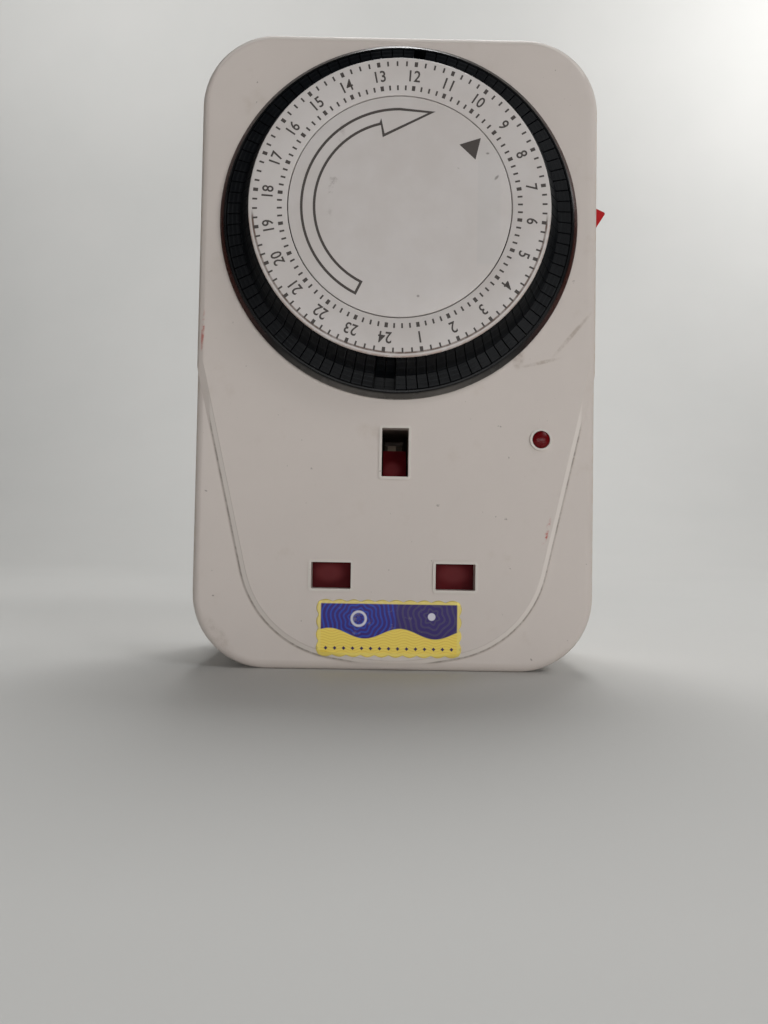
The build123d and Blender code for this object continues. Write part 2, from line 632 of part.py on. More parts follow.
def tappet(bearing, pushed):
    """One tappet: a sloping face under the dial's edge, a foot outside it and a leg through the floor."""
    inner = WHEEL_WALL_OUTER + TAPPET_WALL_GAP
    arc = TAPPET_PITCH - degrees(TAPPET_GAP / KNEE_RADIUS)
    head = turned(
        [
            (inner, FACE + TAPPET_TOP),
            (inner + TAPPET_TOP_WIDTH, FACE + TAPPET_TOP),
            (KNEE_RADIUS, FACE + TAPPET_KNEE[1]),
            (TAPPET_FOOT_END, FACE + TAPPET_FOOT_HEIGHT),
            (TAPPET_FOOT_END, FACE + TAPPET_UNDERSIDE),
            (inner, FACE + TAPPET_UNDERSIDE),
        ],
        arc,
    )
    leg = Pos(0, (LEG_INNER + LEG_OUTER) / 2) * Rectangle(LEG_WIDTH, LEG_OUTER - LEG_INNER)
    body = head + slab(leg, FACE + LEG_END, FACE + TAPPET_UNDERSIDE + SLIP)
    back = TAPPET_TRAVEL if pushed else 0.0
    return Pos(0, back, DIAL_Z) * Rot(0, bearing, 0) * body


def hour_ring():
    face = FACE + DISC_TOP
    ring = turned(
        [
            (HOUR_RING_INNER, RING_BACK),
            (HOUR_RING_OUTER, RING_BACK),
            (HOUR_RING_OUTER, face - HOUR_RING_ROUND),
            (HOUR_RING_OUTER - HOUR_RING_ROUND, face),
            (HOUR_RING_INNER, face),
        ]
    )
    return Pos(0, 0, DIAL_Z) * ring


def centre_disc():
    body = disc(0, DIAL_Z, HOUR_RING_INNER - FIT, DISC_BACK, FACE + DISC_TOP)
    return body + disc(0, DIAL_Z, POST_INNER, FACE + SLIP, DISC_BACK)


def lever_window():
    """Half the height of the plate's window, with the lever and both of its ears in it."""
    return LEVER_HALF_HEIGHT + 2 * SLIP + EAR_THICK


def mechanism_plate():
    half = HALF_INSIDE - PLATE_EDGE_GAP
    top = CASE_TOP - WALL - PLATE_EDGE_GAP
    low = PLATE_LOW_Z
    corner = CASE_CORNER - WALL - PLATE_EDGE_GAP
    window = lever_window()
    window_left = LEVER_PIVOT_X - LEVER_BARREL - WINDOW_EDGE
    flange_low, flange_high = switch_flange()
    notch_left = FLANGE_INNER - 2 * SLIP
    outline = Pos(0, (top + low) / 2) * RectangleRounded(2 * half, top - low, corner)
    for x, z in SCREW_PLACES:
        outline -= Pos(x, z) * Circle(BOSS_RADIUS + FIT)
    for x, z in PLATE_POSTS:
        outline -= Pos(x, z) * Circle(PLATE_SCREW_RADIUS + SCREW_HOLE_EASE)
    outline -= Pos(MOTOR_X, MOTOR_Z) * Circle(ARBOR_RADIUS + ARBOR_HOLE_EASE)
    outline -= Pos(REDUCTION_X, REDUCTION_Z) * Circle(ARBOR_RADIUS)
    body = slab(outline, PLATE_BACK, PLATE_FRONT)
    body -= block(window_left, half + 1, DIAL_Z - window, DIAL_Z + window, PLATE_BACK, PLATE_FRONT)
    body -= block(
        notch_left,
        half + 1,
        flange_low - SWITCH_TRAVEL - 2 * SLIP,
        flange_high + 2 * SLIP,
        PLATE_BACK,
        PLATE_FRONT,
    )

    ear_left, ear_right = window_left - WINDOW_EDGE, LEVER_PIVOT_X + LEVER_BARREL
    ear_top = LEVER_PIVOT_DEPTH + EAR_ABOVE_PIVOT
    for z_low in (DIAL_Z - window, DIAL_Z + window - EAR_THICK):
        body += block(ear_left, ear_right, z_low, z_low + EAR_THICK, PLATE_BACK, ear_top)
    bore = Cylinder(TRUNNION_RADIUS + SHAFT_FIT, 2 * window + 1)
    body -= Pos(LEVER_PIVOT_X, -LEVER_PIVOT_DEPTH, DIAL_Z) * bore

    post = Circle(POST_OUTER) - Circle(POST_INNER)
    body += slab(Pos(0, DIAL_Z) * Circle(POST_OUTER), PLATE_BACK, FACE)
    return body + slab(Pos(0, DIAL_Z) * post, FACE, DISC_BACK)


def plate_screws():
    screws = []
    head_radius, head_thick = PLATE_SCREW_HEAD
    slot_width, slot_depth = PLATE_SCREW_SLOT
    for x, z in PLATE_POSTS:
        screw = disc(x, z, head_radius, PLATE_BACK - head_thick, PLATE_BACK)
        slot = Pos(x, z) * Rectangle(2 * head_radius, slot_width)
        screw -= slab(slot, PLATE_BACK - head_thick, PLATE_BACK - head_thick + slot_depth)
        screws.append(screw + disc(x, z, PLATE_SCREW_RADIUS, PLATE_BACK, PLATE_BACK + PLATE_SCREW_LENGTH))
    return Compound(children=screws)


def gear_arbor():
    front = DIAL_GEAR_FRONT + 2 * GEAR_GAP
    return disc(REDUCTION_X, REDUCTION_Z, ARBOR_RADIUS, PLATE_BACK, front)


def reduction_gear():
    bore = Circle(ARBOR_RADIUS + SHAFT_FIT)
    wheel = gear_outline(REDUCTION_WHEEL_TEETH, MOTOR_BEARING) - bore
    gap = 180.0 / REDUCTION_PINION_TEETH
    pinion = gear_outline(REDUCTION_PINION_TEETH, REDUCTION_BEARING + 180 + gap) - bore
    body = slab(wheel, REDUCTION_WHEEL_BACK, REDUCTION_WHEEL_FRONT)
    body += slab(pinion, REDUCTION_WHEEL_FRONT, DIAL_GEAR_FRONT + GEAR_GAP / 2)
    return Pos(REDUCTION_X, 0, REDUCTION_Z) * body


def motor_pinion():
    gap = 180.0 / MOTOR_PINION_TEETH
    pinion = gear_outline(MOTOR_PINION_TEETH, MOTOR_BEARING + 180 + gap)
    back = REDUCTION_WHEEL_BACK - SLIP / 2
    body = slab(pinion, back, REDUCTION_WHEEL_FRONT + SLIP / 2)
    body += slab(Circle(ARBOR_RADIUS), PLATE_BACK - MOTOR_BORE_DEPTH + FIT, back)
    return Pos(MOTOR_X, 0, MOTOR_Z) * body


def motor():
    back = PLATE_BACK - MOTOR_LENGTH
    body = slab(Circle(MOTOR_RADIUS), back, PLATE_BACK)
    body = chamfer(body.faces().sort_by(Axis.Y)[-1].edges(), MOTOR_EDGE)
    body += slab(Circle(MOTOR_CAP_RADIUS), back - MOTOR_CAP_LENGTH, back)
    ears = SlotOverall(2 * MOTOR_EAR_REACH, MOTOR_EAR_WIDTH)
    for side in (-1, 1):
        ears -= Pos(side * (MOTOR_EAR_REACH - MOTOR_EAR_WIDTH / 2), 0) * Circle(MOTOR_EAR_HOLE)
    body += slab(Rot(0, 0, MOTOR_EAR_BEARING) * ears, PLATE_BACK - MOTOR_EAR_THICK, PLATE_BACK)
    width, height, depth = MOTOR_TERMINALS
    terminals = Pos(0, -MOTOR_RADIUS) * Rectangle(width, 2 * height)
    body += slab(terminals, back + MOTOR_EDGE, back + MOTOR_EDGE + depth)
    body -= slab(Circle(ARBOR_RADIUS + SHAFT_FIT), PLATE_BACK - MOTOR_BORE_DEPTH, PLATE_BACK)
    return Pos(MOTOR_X, 0, MOTOR_Z) * body


def follower_lever():
    """A hinged bar under the tappets' legs: a nose that they press and a tip that the switch presses."""
    low, high = DIAL_Z - LEVER_HALF_HEIGHT, DIAL_Z + LEVER_HALF_HEIGHT
    body = block(LEVER_PIVOT_X, LEVER_TIP_START, low, high, LEVER_BACK, LEVER_FRONT)
    tip = [
        (LEG_OUTER, LEVER_BACK),
        (LEVER_TIP_END, LEVER_BACK),
        (LEVER_TIP_END, LEVER_FRONT + LEVER_TIP_RISE),
        (LEVER_TIP_START, LEVER_FRONT + LEVER_TIP_RISE),
        (LEG_OUTER, LEVER_FRONT),
    ]
    body += upright(tip, DIAL_Z - LEVER_TIP_HALF_HEIGHT, DIAL_Z + LEVER_TIP_HALF_HEIGHT)
    nose_foot, nose_crest = NOSE_HALF_HEIGHTS
    nose = [
        (DIAL_Z - nose_foot, LEVER_BACK),
        (DIAL_Z - nose_foot, LEVER_FRONT),
        (DIAL_Z - nose_crest, LEG_PUSHED_END - NOSE_GAP),
        (DIAL_Z + nose_crest, LEG_PUSHED_END - NOSE_GAP),
        (DIAL_Z + nose_foot, LEVER_FRONT),
        (DIAL_Z + nose_foot, LEVER_BACK),
    ]
    body += across(nose, LEG_INNER + LEG_CLEAR, LEG_OUTER)
    pivot = Pos(LEVER_PIVOT_X, -LEVER_PIVOT_DEPTH, DIAL_Z)
    body += pivot * Cylinder(LEVER_BARREL, high - low)
    return body + pivot * Cylinder(TRUNNION_RADIUS, high - low + 2 * (SLIP + TRUNNION_LENGTH))


def microswitch():
    width, height, _ = MICROSWITCH
    x = MICROSWITCH_LEFT
    body = block(x, x + width, DIAL_Z - height / 2, DIAL_Z + height / 2, MICROSWITCH_BACK, PLATE_BACK)
    body = chamfer(body.edges().filter_by(Axis.Y), MICROSWITCH_CHAMFER)
    hole_radius, hole_spacing, hole_depth = MICROSWITCH_HOLES
    for z in (DIAL_Z - hole_spacing / 2, DIAL_Z + hole_spacing / 2):
        hole = Rot(0, 90, 0) * Cylinder(hole_radius, width + 1)
        body -= Pos(PLUNGER_X, -(PLATE_BACK - hole_depth), z) * hole
    return body - disc(PLUNGER_X, DIAL_Z, PLUNGER_RADIUS + FIT, PLUNGER_BORE_END, PLATE_BACK)


def switch_plunger():
    inside = PLUNGER_BORE_END + PLUNGER_TRAVEL + SLIP
    body = disc(PLUNGER_X, DIAL_Z, PLUNGER_RADIUS, inside, PLATE_BACK + PLUNGER_REACH)
    return chamfer(front_edges(body), PLUNGER_EDGE)


def override_switch():
    neck_low, neck_high = switch_neck()
    outside, tip = HALF_WIDTH + SLIP, HALF_WIDTH + THUMB_REACH
    top = DIAL_Z + SWITCH_ABOVE_DIAL
    thumb = Polygon(
        (outside, top),
        (tip, top - THUMB_DROP),
        (outside + THUMB_FOOT, top - THUMB_HEIGHT),
        (outside, top - THUMB_HEIGHT),
        align=None,
    )
    thumb = fillet(thumb.vertices().sort_by(Axis.X)[-1:], THUMB_ROUND)
    body = slab(thumb, SWITCH_DEPTH - THUMB_WIDTH / 2, SWITCH_DEPTH + THUMB_WIDTH / 2)
    back, front = SWITCH_DEPTH - NECK_WIDTH / 2, SWITCH_DEPTH + NECK_WIDTH / 2
    body += block(FLANGE_OUTER, outside, neck_low, neck_high, back, front)
    flange_low, flange_high = switch_flange()
    half = SWITCH_FLANGE_WIDTH / 2
    back, front = SWITCH_DEPTH - half, SWITCH_DEPTH + half
    body += block(FLANGE_INNER, FLANGE_OUTER, flange_low, flange_high, back, front)

    # The ramp on the inner side presses the lever's tip back as the switch goes down
    press = ((LEVER_TIP_START + LEVER_TIP_END) / 2 - LEVER_PIVOT_X) * sin(radians(LEVER_TURN))
    flat = LEVER_FRONT + LEVER_TIP_RISE + SLIP
    start = DIAL_Z + LEVER_TIP_HALF_HEIGHT
    end = start + SWITCH_TRAVEL + RAMP_LEAD
    ramp = [
        (start - RAMP_FLAT, flat),
        (start, flat),
        (end, flat - press * (end - start) / SWITCH_TRAVEL),
        (end, flat + RAMP_THICK),
        (start - RAMP_FLAT, flat + RAMP_THICK),
    ]
    body += across(ramp, LEVER_TIP_START + FIT, FLANGE_INNER)
    return body + block(FLANGE_INNER, FLANGE_OUTER, start - RAMP_FLAT, end, SWITCH_DEPTH, flat + RAMP_THICK)


def shutter():
    """A crossbar behind the two live apertures, on a stem with a ramp behind the earth aperture."""
    half = CROSSBAR_HALF_WIDTH
    back = SHUTTER_FRONT - SHUTTER_THICK
    bar_top = LIVE_SOCKET_Z + LIVE_APERTURE[1] / 2 + CROSSBAR_TOP_COVER
    body = block(-half, half, CROSSBAR_BOTTOM, bar_top, back, SHUTTER_FRONT)
    sole = SHUTTER_RAMP_FOOT - RAMP_SOLE
    body += block(-STEM_HALF_WIDTH, STEM_HALF_WIDTH, bar_top - 1, SHUTTER_RAMP_FOOT, back, SHUTTER_FRONT)
    ramp = [
        (sole, SHUTTER_FRONT),
        (SHUTTER_RAMP_FOOT, SHUTTER_FRONT),
        (EARTH_SOCKET_Z + RAMP_TOP_ABOVE_EARTH, SHUTTER_FRONT - RAMP_DEPTH),
        (sole, SHUTTER_FRONT - RAMP_DEPTH),
    ]
    return body + across(ramp, -STEM_HALF_WIDTH, STEM_HALF_WIDTH)


def shutter_spring():
    """A folded strip that stands on its seat and holds the shutter up."""
    top = CROSSBAR_BOTTOM
    bottom = top - SPRING_LENGTH
    reach = SPRING_HALF_WIDTH
    lift = (SPRING_LENGTH - SPRING_STRIP) / SPRING_TURNS
    points = [(-reach, bottom + SPRING_STRIP / 2)]
    for turn in range(SPRING_TURNS):
        side = 1 if turn % 2 == 0 else -1
        points.append((side * reach, bottom + SPRING_STRIP / 2 + lift * (turn + 0.15)))
        points.append((side * reach, bottom + SPRING_STRIP / 2 + lift * (turn + 0.85)))
    points.append((-reach if SPRING_TURNS % 2 == 0 else reach, top - SPRING_STRIP / 2))
    runs = [Line(a, b) for a, b in zip(points, points[1:]) if a != b]
    strip = Sketch()
    for run in runs:
        strip += trace(run, SPRING_STRIP)
    for corner in points[1:-1]:
        strip += Pos(*corner) * Circle(SPRING_STRIP / 2)
    middle = SHUTTER_FRONT - SHUTTER_THICK / 2
    return slab(strip, middle - SPRING_WIDTH / 2, middle + SPRING_WIDTH / 2)


def socket_block():
    """A block with three pockets for the contacts, each with a floor that its strip comes through."""
    body = block(-BLOCK_HALF_WIDTH, BLOCK_HALF_WIDTH, BLOCK_BOTTOM_Z, BLOCK_TOP_Z, BLOCK_BACK, BLOCK_FRONT)
    body = chamfer(body.edges().filter_by(Axis.Y), BLOCK_CORNER)
    floor = BLOCK_BACK + BLOCK_FLOOR
    for x in (-LIVE_X, LIVE_X):
        body -= slab(Pos(x, LIVE_SOCKET_Z) * Rectangle(*POCKET_LIVE), floor, BLOCK_FRONT)
    body -= slab(Pos(0, EARTH_SOCKET_Z) * Rectangle(*POCKET_EARTH), floor, BLOCK_FRONT)

    half = STRIP_WIDTH / 2 + SLIP
    for x, z in ((0, EARTH_SOCKET_Z + STRIP_LAP), (-LIVE_X, LIVE_SOCKET_Z + STRIP_LAP)):
        body -= block(x - half, x + half, z - SLIP, z + STRIP_THICK + SLIP, BLOCK_BACK, floor)
    half = OUT_STRIP_WIDTH / 2 + SLIP
    low, high = LIVE_SOCKET_Z - half, LIVE_SOCKET_Z + half
    branch = LIVE_X - OUT_STRIP_WIDTH / 2
    body -= block(branch - SLIP, branch + STRIP_THICK + SLIP, low, high, BLOCK_BACK, floor)

    half = STEM_HALF_WIDTH + SLIP
    low = SHUTTER_RAMP_FOOT - RAMP_SOLE - SHUTTER_TRAVEL - SLIP
    back = SHUTTER_FRONT - RAMP_DEPTH - SLIP
    return body - block(-half, half, low, EARTH_SOCKET_Z, back, BLOCK_FRONT)


def grip_profile(pocket_half, front):
    """Half of a contact in section: a web that fills its pocket and a leaf that grips the pin."""
    grip = CONTACT_GRIP / 2
    web = CONTACT_WEB
    return [
        (0, web),
        (pocket_half, web),
        (pocket_half, web + CONTACT_THICK),
        (grip + CONTACT_THICK, web + CONTACT_THICK),
        (grip + CONTACT_THICK, front - LEAF_FLARE),
        (grip + CONTACT_THICK + CONTACT_EASE, front),
        (grip + CONTACT_EASE, front),
        (grip, front - LEAF_FLARE),
        (grip, web + CONTACT_THICK),
        (0, web + CONTACT_THICK),
    ]


def live_contact(x):
    half = grip_profile(POCKET_LIVE[1] / 2 - FIT / 2, BLOCK_FRONT - 2 * SLIP)
    low, high = x - CONTACT_WIDTH / 2, x + CONTACT_WIDTH / 2
    body = across([(LIVE_SOCKET_Z + z, depth) for z, depth in half], low, high)
    return body + across([(LIVE_SOCKET_Z - z, depth) for z, depth in half], low, high)


def contact_earth():
    front = SHUTTER_FRONT - RAMP_DEPTH - 2 * SLIP
    half = grip_profile(POCKET_EARTH[0] / 2 - FIT / 2, front)
    low, high = EARTH_SOCKET_Z - CONTACT_WIDTH / 2, EARTH_SOCKET_Z + CONTACT_WIDTH / 2
    return upright(half, low, high) + upright([(-x, depth) for x, depth in half], low, high)


def long_strip(x, pin_z, socket_z):
    """A flat strip from a plug pin's root down behind the block and forward to a contact."""
    top, end = pin_z + STRIP_LAP, socket_z - STRIP_LAP
    riser = socket_z + STRIP_LAP
    back, web = PIN_ROOT, CONTACT_WEB
    strip = [
        (top, back),
        (top, back + STRIP_THICK),
        (riser + STRIP_THICK, back + STRIP_THICK),
        (riser + STRIP_THICK, web),
        (end, web),
        (end, web - STRIP_THICK),
        (riser, web - STRIP_THICK),
        (riser, back),
    ]
    return across(strip, x - STRIP_WIDTH / 2, x + STRIP_WIDTH / 2)


def line_strip_in():
    start, end = LIVE_X - STRIP_LAP, PLUNGER_X + STRIP_LAP
    half = STRIP_WIDTH / 2
    profile = [
        (start, PIN_ROOT),
        (start, PIN_ROOT + STRIP_THICK),
        (end - STRIP_THICK, PIN_ROOT + STRIP_THICK),
        (end - STRIP_THICK, MICROSWITCH_BACK),
        (end, MICROSWITCH_BACK),
        (end, PIN_ROOT),
    ]
    return upright(profile, LIVE_PIN_Z - half, LIVE_PIN_Z + half)


def line_strip_out():
    """A strip from the microswitch down past the block, with a branch forward to the line contact."""
    x = PLUNGER_X
    half = OUT_STRIP_WIDTH / 2
    back = BLOCK_BACK - OUT_STRIP_BEHIND
    front = back + STRIP_THICK
    low, high = LIVE_SOCKET_Z - half, LIVE_SOCKET_Z + half
    top = DIAL_Z - MICROSWITCH[1] / 2 + STRIP_LAP
    branch = LIVE_X - half
    body = block(x - half, x + half, low, top, back, front)
    body += block(x - half, x + half, top - STRIP_THICK, top, back, MICROSWITCH_BACK)
    body += block(branch, x + half, low, high, back, front)
    return body + block(branch, branch + STRIP_THICK, low, high, back, CONTACT_WEB)


def neon_lens():
    """A domed lens in the cover's collar, with a flange behind it that fills the lamp's cup."""
    sag = LENS_PROUD - COLLAR_HEIGHT
    radius = (LENS_RADIUS**2 + sag**2) / (2 * sag)
    ball = Pos(NEON_X, -(FACE + LENS_PROUD - radius), NEON_Z) * Sphere(radius)
    body = disc(NEON_X, NEON_Z, LENS_RADIUS, FACE_INSIDE, FACE + LENS_PROUD)
    body &= ball + disc(NEON_X, NEON_Z, LENS_RADIUS + 1, 0, FACE + COLLAR_HEIGHT)
    return body + disc(NEON_X, NEON_Z, LAMP_RADIUS, LAMP_FRONT, FACE_INSIDE)


def neon_lamp():
    body = disc(NEON_X, NEON_Z, LAMP_RADIUS, LAMP_FRONT - LAMP_LENGTH, LAMP_FRONT)
    return chamfer(front_edges(body), LAMP_EDGE)


def neon_resistor():
    front = LAMP_FRONT - LAMP_LENGTH
    return disc(NEON_X, NEON_Z, RESISTOR_RADIUS, front - RESISTOR_LENGTH, front)


def hour_group(hour):
    """The tappets of one hour that are up, and those that are pushed, as two lists."""
    first = hour * TAPPETS_PER_HOUR
    count = PUSHED.get(hour, 0)
    bearings = tappet_bearings()[first : first + TAPPETS_PER_HOUR]
    down = [tappet(bearing, True) for bearing in bearings[:count]]
    return [tappet(bearing, False) for bearing in bearings[count:]], down


pieces = {
    "front_cover": front_cover(),
    "rear_cover": rear_cover(),
    "cover_screws": cover_screws(),
    "pin_line": live_pin(LIVE_X),
    "pin_neutral": live_pin(-LIVE_X),
    "pin_earth": pin_earth(),
    "sleeve_line": sleeve(LIVE_X),
    "sleeve_neutral": sleeve(-LIVE_X),
    "mechanism_plate": mechanism_plate(),
    "plate_screws": plate_screws(),
    "gear_arbor": gear_arbor(),
    "motor": motor(),
    "motor_pinion": motor_pinion(),
    "reduction_gear": reduction_gear(),
    "dial_wheel": dial_wheel(),
    "hour_ring": hour_ring(),
    "centre_disc": centre_disc(),
    "follower_lever": follower_lever(),
    "microswitch": microswitch(),
    "switch_plunger": switch_plunger(),
    "override_switch": override_switch(),
    "socket_block": socket_block(),
    "shutter": shutter(),
    "shutter_spring": shutter_spring(),
    "contact_line": live_contact(LIVE_X),
    "contact_neutral": live_contact(-LIVE_X),
    "contact_earth": contact_earth(),
    "earth_strip": long_strip(0, EARTH_PIN_Z, EARTH_SOCKET_Z),
    "neutral_strip": long_strip(-LIVE_X, LIVE_PIN_Z, LIVE_SOCKET_Z),
    "line_strip_in": line_strip_in(),
    "line_strip_out": line_strip_out(),
    "neon_lens": neon_lens(),
    "neon_lamp": neon_lamp(),
    "neon_resistor": neon_resistor(),
}
for hour in range(HOURS):
    up, down = hour_group(hour)
    name = f"{hour or HOURS:02d}"
    pieces[f"tappets_hour_{name}"] = Compound(children=up)
    if down:
        pieces[f"pushed_tappets_{name}"] = Compound(children=down)

os.makedirs("parts", exist_ok=True)
for name, piece in pieces.items():
    export_step(piece, f"parts/{name}.step")
print(len(pieces), "pieces written")
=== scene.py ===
# %% [markdown]
# # A plug-in segment timer, dressed in Blender
#
# The timer is a light grey box that plugs into a wall socket and has a socket of its own on its face. Above
# that socket sits a round dial: a white ring of hours, and round it 96 small black segments, one for each
# quarter of an hour, that are pushed in to switch the socket on.
#
# The solid parts come in ready made, as a fixed frame in metres: X to the right, Z up, and the face with the
# dial looks along -Y. This lesson adds what solids alone can't show: soft moulded edges, printing on the
# dial, a sticker, and a finish for every piece.

import json
from math import pi, radians

import bmesh
import bpy
import numpy as np
from mathutils import Matrix, Vector


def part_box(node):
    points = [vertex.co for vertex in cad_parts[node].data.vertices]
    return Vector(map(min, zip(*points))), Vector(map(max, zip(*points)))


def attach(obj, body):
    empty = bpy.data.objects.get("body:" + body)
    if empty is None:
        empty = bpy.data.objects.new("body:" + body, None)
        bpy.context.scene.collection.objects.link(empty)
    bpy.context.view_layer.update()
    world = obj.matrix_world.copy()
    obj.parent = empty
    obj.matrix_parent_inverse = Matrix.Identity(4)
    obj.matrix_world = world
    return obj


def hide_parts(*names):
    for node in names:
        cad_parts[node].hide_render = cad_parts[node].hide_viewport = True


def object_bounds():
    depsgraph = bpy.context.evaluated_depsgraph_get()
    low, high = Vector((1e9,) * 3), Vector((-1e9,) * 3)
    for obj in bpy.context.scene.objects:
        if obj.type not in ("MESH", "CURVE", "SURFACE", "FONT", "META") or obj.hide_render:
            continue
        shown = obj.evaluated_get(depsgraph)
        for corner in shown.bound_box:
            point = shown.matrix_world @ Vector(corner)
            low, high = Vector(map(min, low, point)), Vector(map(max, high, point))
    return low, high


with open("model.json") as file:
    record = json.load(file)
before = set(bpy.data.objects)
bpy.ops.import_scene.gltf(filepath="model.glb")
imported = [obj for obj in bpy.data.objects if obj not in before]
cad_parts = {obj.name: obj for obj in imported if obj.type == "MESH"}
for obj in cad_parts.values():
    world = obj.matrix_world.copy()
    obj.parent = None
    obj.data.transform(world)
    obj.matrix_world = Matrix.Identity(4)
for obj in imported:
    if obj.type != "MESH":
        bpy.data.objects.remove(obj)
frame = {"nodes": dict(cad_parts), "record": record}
nodes = frame["nodes"]
frame_low, frame_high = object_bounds()
home = {node: group for group, names in frame["record"]["behaviour"]["bodies"].items() for node in names}
slot_of = {entry["node"]: entry["material_slot"] for entry in frame["record"]["subparts"]}
print(len(nodes), "solid pieces, box in mm:", [round(v * 1000, 2) for v in (*frame_low, *frame_high)])

# %% [markdown]
# ## Colours as they are painted
#
# Blender's usual film look softens strong colours, which flatters a landscape but makes a red plastic catch
# look pink. The plain view shows a paint of a given value under white light as that value, so every tone
# below can be compared with a real object one to one.

# %% The view
bpy.context.scene.view_settings.view_transform = "Standard"


def paint(red, green, blue):
    """A screen colour, 0 to 255, as linear light: divided by 12.92 below 0.04, the 2.4 power curve above."""
    share = np.array([red, green, blue]) / 255
    return tuple(float(v) for v in np.where(share > 0.04045, ((share + 0.055) / 1.055) ** 2.4, share / 12.92))


print("middle grey is", round(paint(188, 188, 188)[0], 3), "in linear light")

# %% [markdown]
# ## Where things are
#
# Everything below is written in millimetres and turned into metres at the very end, because a dial with
# 1.9 mm figures is easier to think about in millimetres. The dial's centre lies on X = 0 at `DIAL_Z`, and its
# white top stands `TOP` in front of the rear face. A point on the dial is given as on a clock: a radius, and
# a bearing in degrees clockwise from the top.

# %% Millimetres and clock bearings
MM = 0.001
FACE = 37.0
TABLE_Z = frame_low.z / MM
ring_low, ring_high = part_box("hour_ring")
DIAL_Z = (ring_low.z + ring_high.z) / 2 / MM
TOP = -ring_low.y / MM
RING_OUTER = ring_high.x / MM
RING_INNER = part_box("centre_disc")[1].x / MM + 0.1
print("dial centre at", round(DIAL_Z, 3), "and its top at", round(TOP, 3), "mm")
print("hour ring from", round(RING_INNER, 2), "to", round(RING_OUTER, 2), "mm")


def clock(radius, bearing, depth=TOP):
    """Points on the dial: x = r sin(bearing), z = dial centre + r cos(bearing), y = minus the depth."""
    turn = np.radians(bearing)
    x = radius * np.sin(turn)
    z = DIAL_Z + radius * np.cos(turn)
    return np.stack(np.broadcast_arrays(x, -np.asarray(depth, float), z), axis=-1)


# %% [markdown]
# ## From numbers to a mesh
#
# A surface is a grid of points, rows by columns, worked out for all points at once. Two index grids then
# name the four corners of every face. Where a grid closes on itself, as a turned part does, the last row
# or column joins the first again, so there is no seam. Equal points are merged afterwards, which also closes
# the pole of a turned part, where a whole row of points falls on the axis.

# %% Grids and index arrays
def quads(rows, columns, close_rows=False, close_columns=False):
    """Corner numbers of a grid's faces: (i, j), (i, j+1), (i+1, j+1), (i+1, j), wrapped where it closes."""
    i = np.arange(rows if close_rows else rows - 1)[:, None]
    j = np.arange(columns if close_columns else columns - 1)[None, :]
    below, right = (i + 1) % rows, (j + 1) % columns
    corners = [i * columns + j, i * columns + right, below * columns + right, below * columns + j]
    return np.stack(np.broadcast_arrays(*corners), axis=-1).reshape(-1, 4)


dressed = {}


def settle(piece, node, finish, angle, replaces=()):
    """Smooth a piece up to an angle, let it ride where a solid piece rides, and note its finish."""
    piece.data.shade_smooth()
    piece.data.set_sharp_from_angle(angle=radians(angle))
    bpy.context.scene.collection.objects.link(piece)
    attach(piece, home[node])
    if replaces:
        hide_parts(*replaces)
    dressed[piece.name] = finish
    print(piece.name, len(piece.data.vertices), "points", len(piece.data.polygons), "faces, on", home[node])
    return piece


def make(name, points, faces, node, finish, angle=35, replaces=()):
    """A mesh from arrays in millimetres: equal points merged, normals outwards, placed in its own points."""
    mesh = bpy.data.meshes.new(name)
    mesh.from_pydata((np.asarray(points, float).reshape(-1, 3) * MM).tolist(), [], [list(f) for f in faces])
    shell = bmesh.new()
    shell.from_mesh(mesh)
    bmesh.ops.remove_doubles(shell, verts=shell.verts, dist=1e-7)
    bmesh.ops.recalc_face_normals(shell, faces=shell.faces)
    shell.to_mesh(mesh)
    shell.free()
    return settle(bpy.data.objects.new(name, mesh), node, finish, angle, replaces)


# %% [markdown]
# ## Soft edges for the solid pieces
#
# Moulded plastic and stamped metal never have knife edges: a thin bright line runs along every corner. The
# solid pieces are exact but sharp. They could be subdivided, but that would round the flats too. Instead a
# copy of each mesh is merged, its flat areas are joined back into whole faces, and a narrow Bevel rounds only
# the edges that turn by more than an angle. Normals weighted by the faces' areas keep each flat evenly lit
# up to its edge. The copy stands for the solid piece on screen.

# %% Copies with rounded edges
def softened(node, width, angle=30, finish=None):
    """A copy of a solid piece: doubles merged, flats joined, edges over an angle rounded by a width in mm."""
    mesh = nodes[node].data.copy()
    mesh.name = "soft_" + node
    shell = bmesh.new()
    shell.from_mesh(mesh)
    bmesh.ops.remove_doubles(shell, verts=shell.verts, dist=2e-7)
    bmesh.ops.dissolve_limit(
        shell, angle_limit=radians(1.0), verts=shell.verts, edges=shell.edges, use_dissolve_boundaries=False
    )
    shell.to_mesh(mesh)
    shell.free()
    piece = settle(bpy.data.objects.new("soft_" + node, mesh), node, finish or slot_of[node], angle, [node])
    bevel = piece.modifiers.new("rounded", "BEVEL")
    bevel.width, bevel.segments, bevel.limit_method = width * MM, 2, "ANGLE"
    bevel.angle_limit, bevel.use_clamp_overlap = radians(angle), True
    shading = piece.modifiers.new("flats stay flat", "WEIGHTED_NORMAL")
    shading.weight, shading.keep_sharp = 80, True
    return piece


# %% [markdown]
# ## Materials as expressions
#
# A material is a small network of nodes. Wiring it by hand hides the idea, so one class wraps an output and
# lets ordinary arithmetic build the Math nodes: `1 - mask * 0.3` reads as what it does. A second class
# holds the tree and makes every other node with one method.
#
# Every pattern is placed by Object coordinates, which are metres on this piece, so `spot` can put a scuff at
# a given X and Z of the face just as a thumb would.

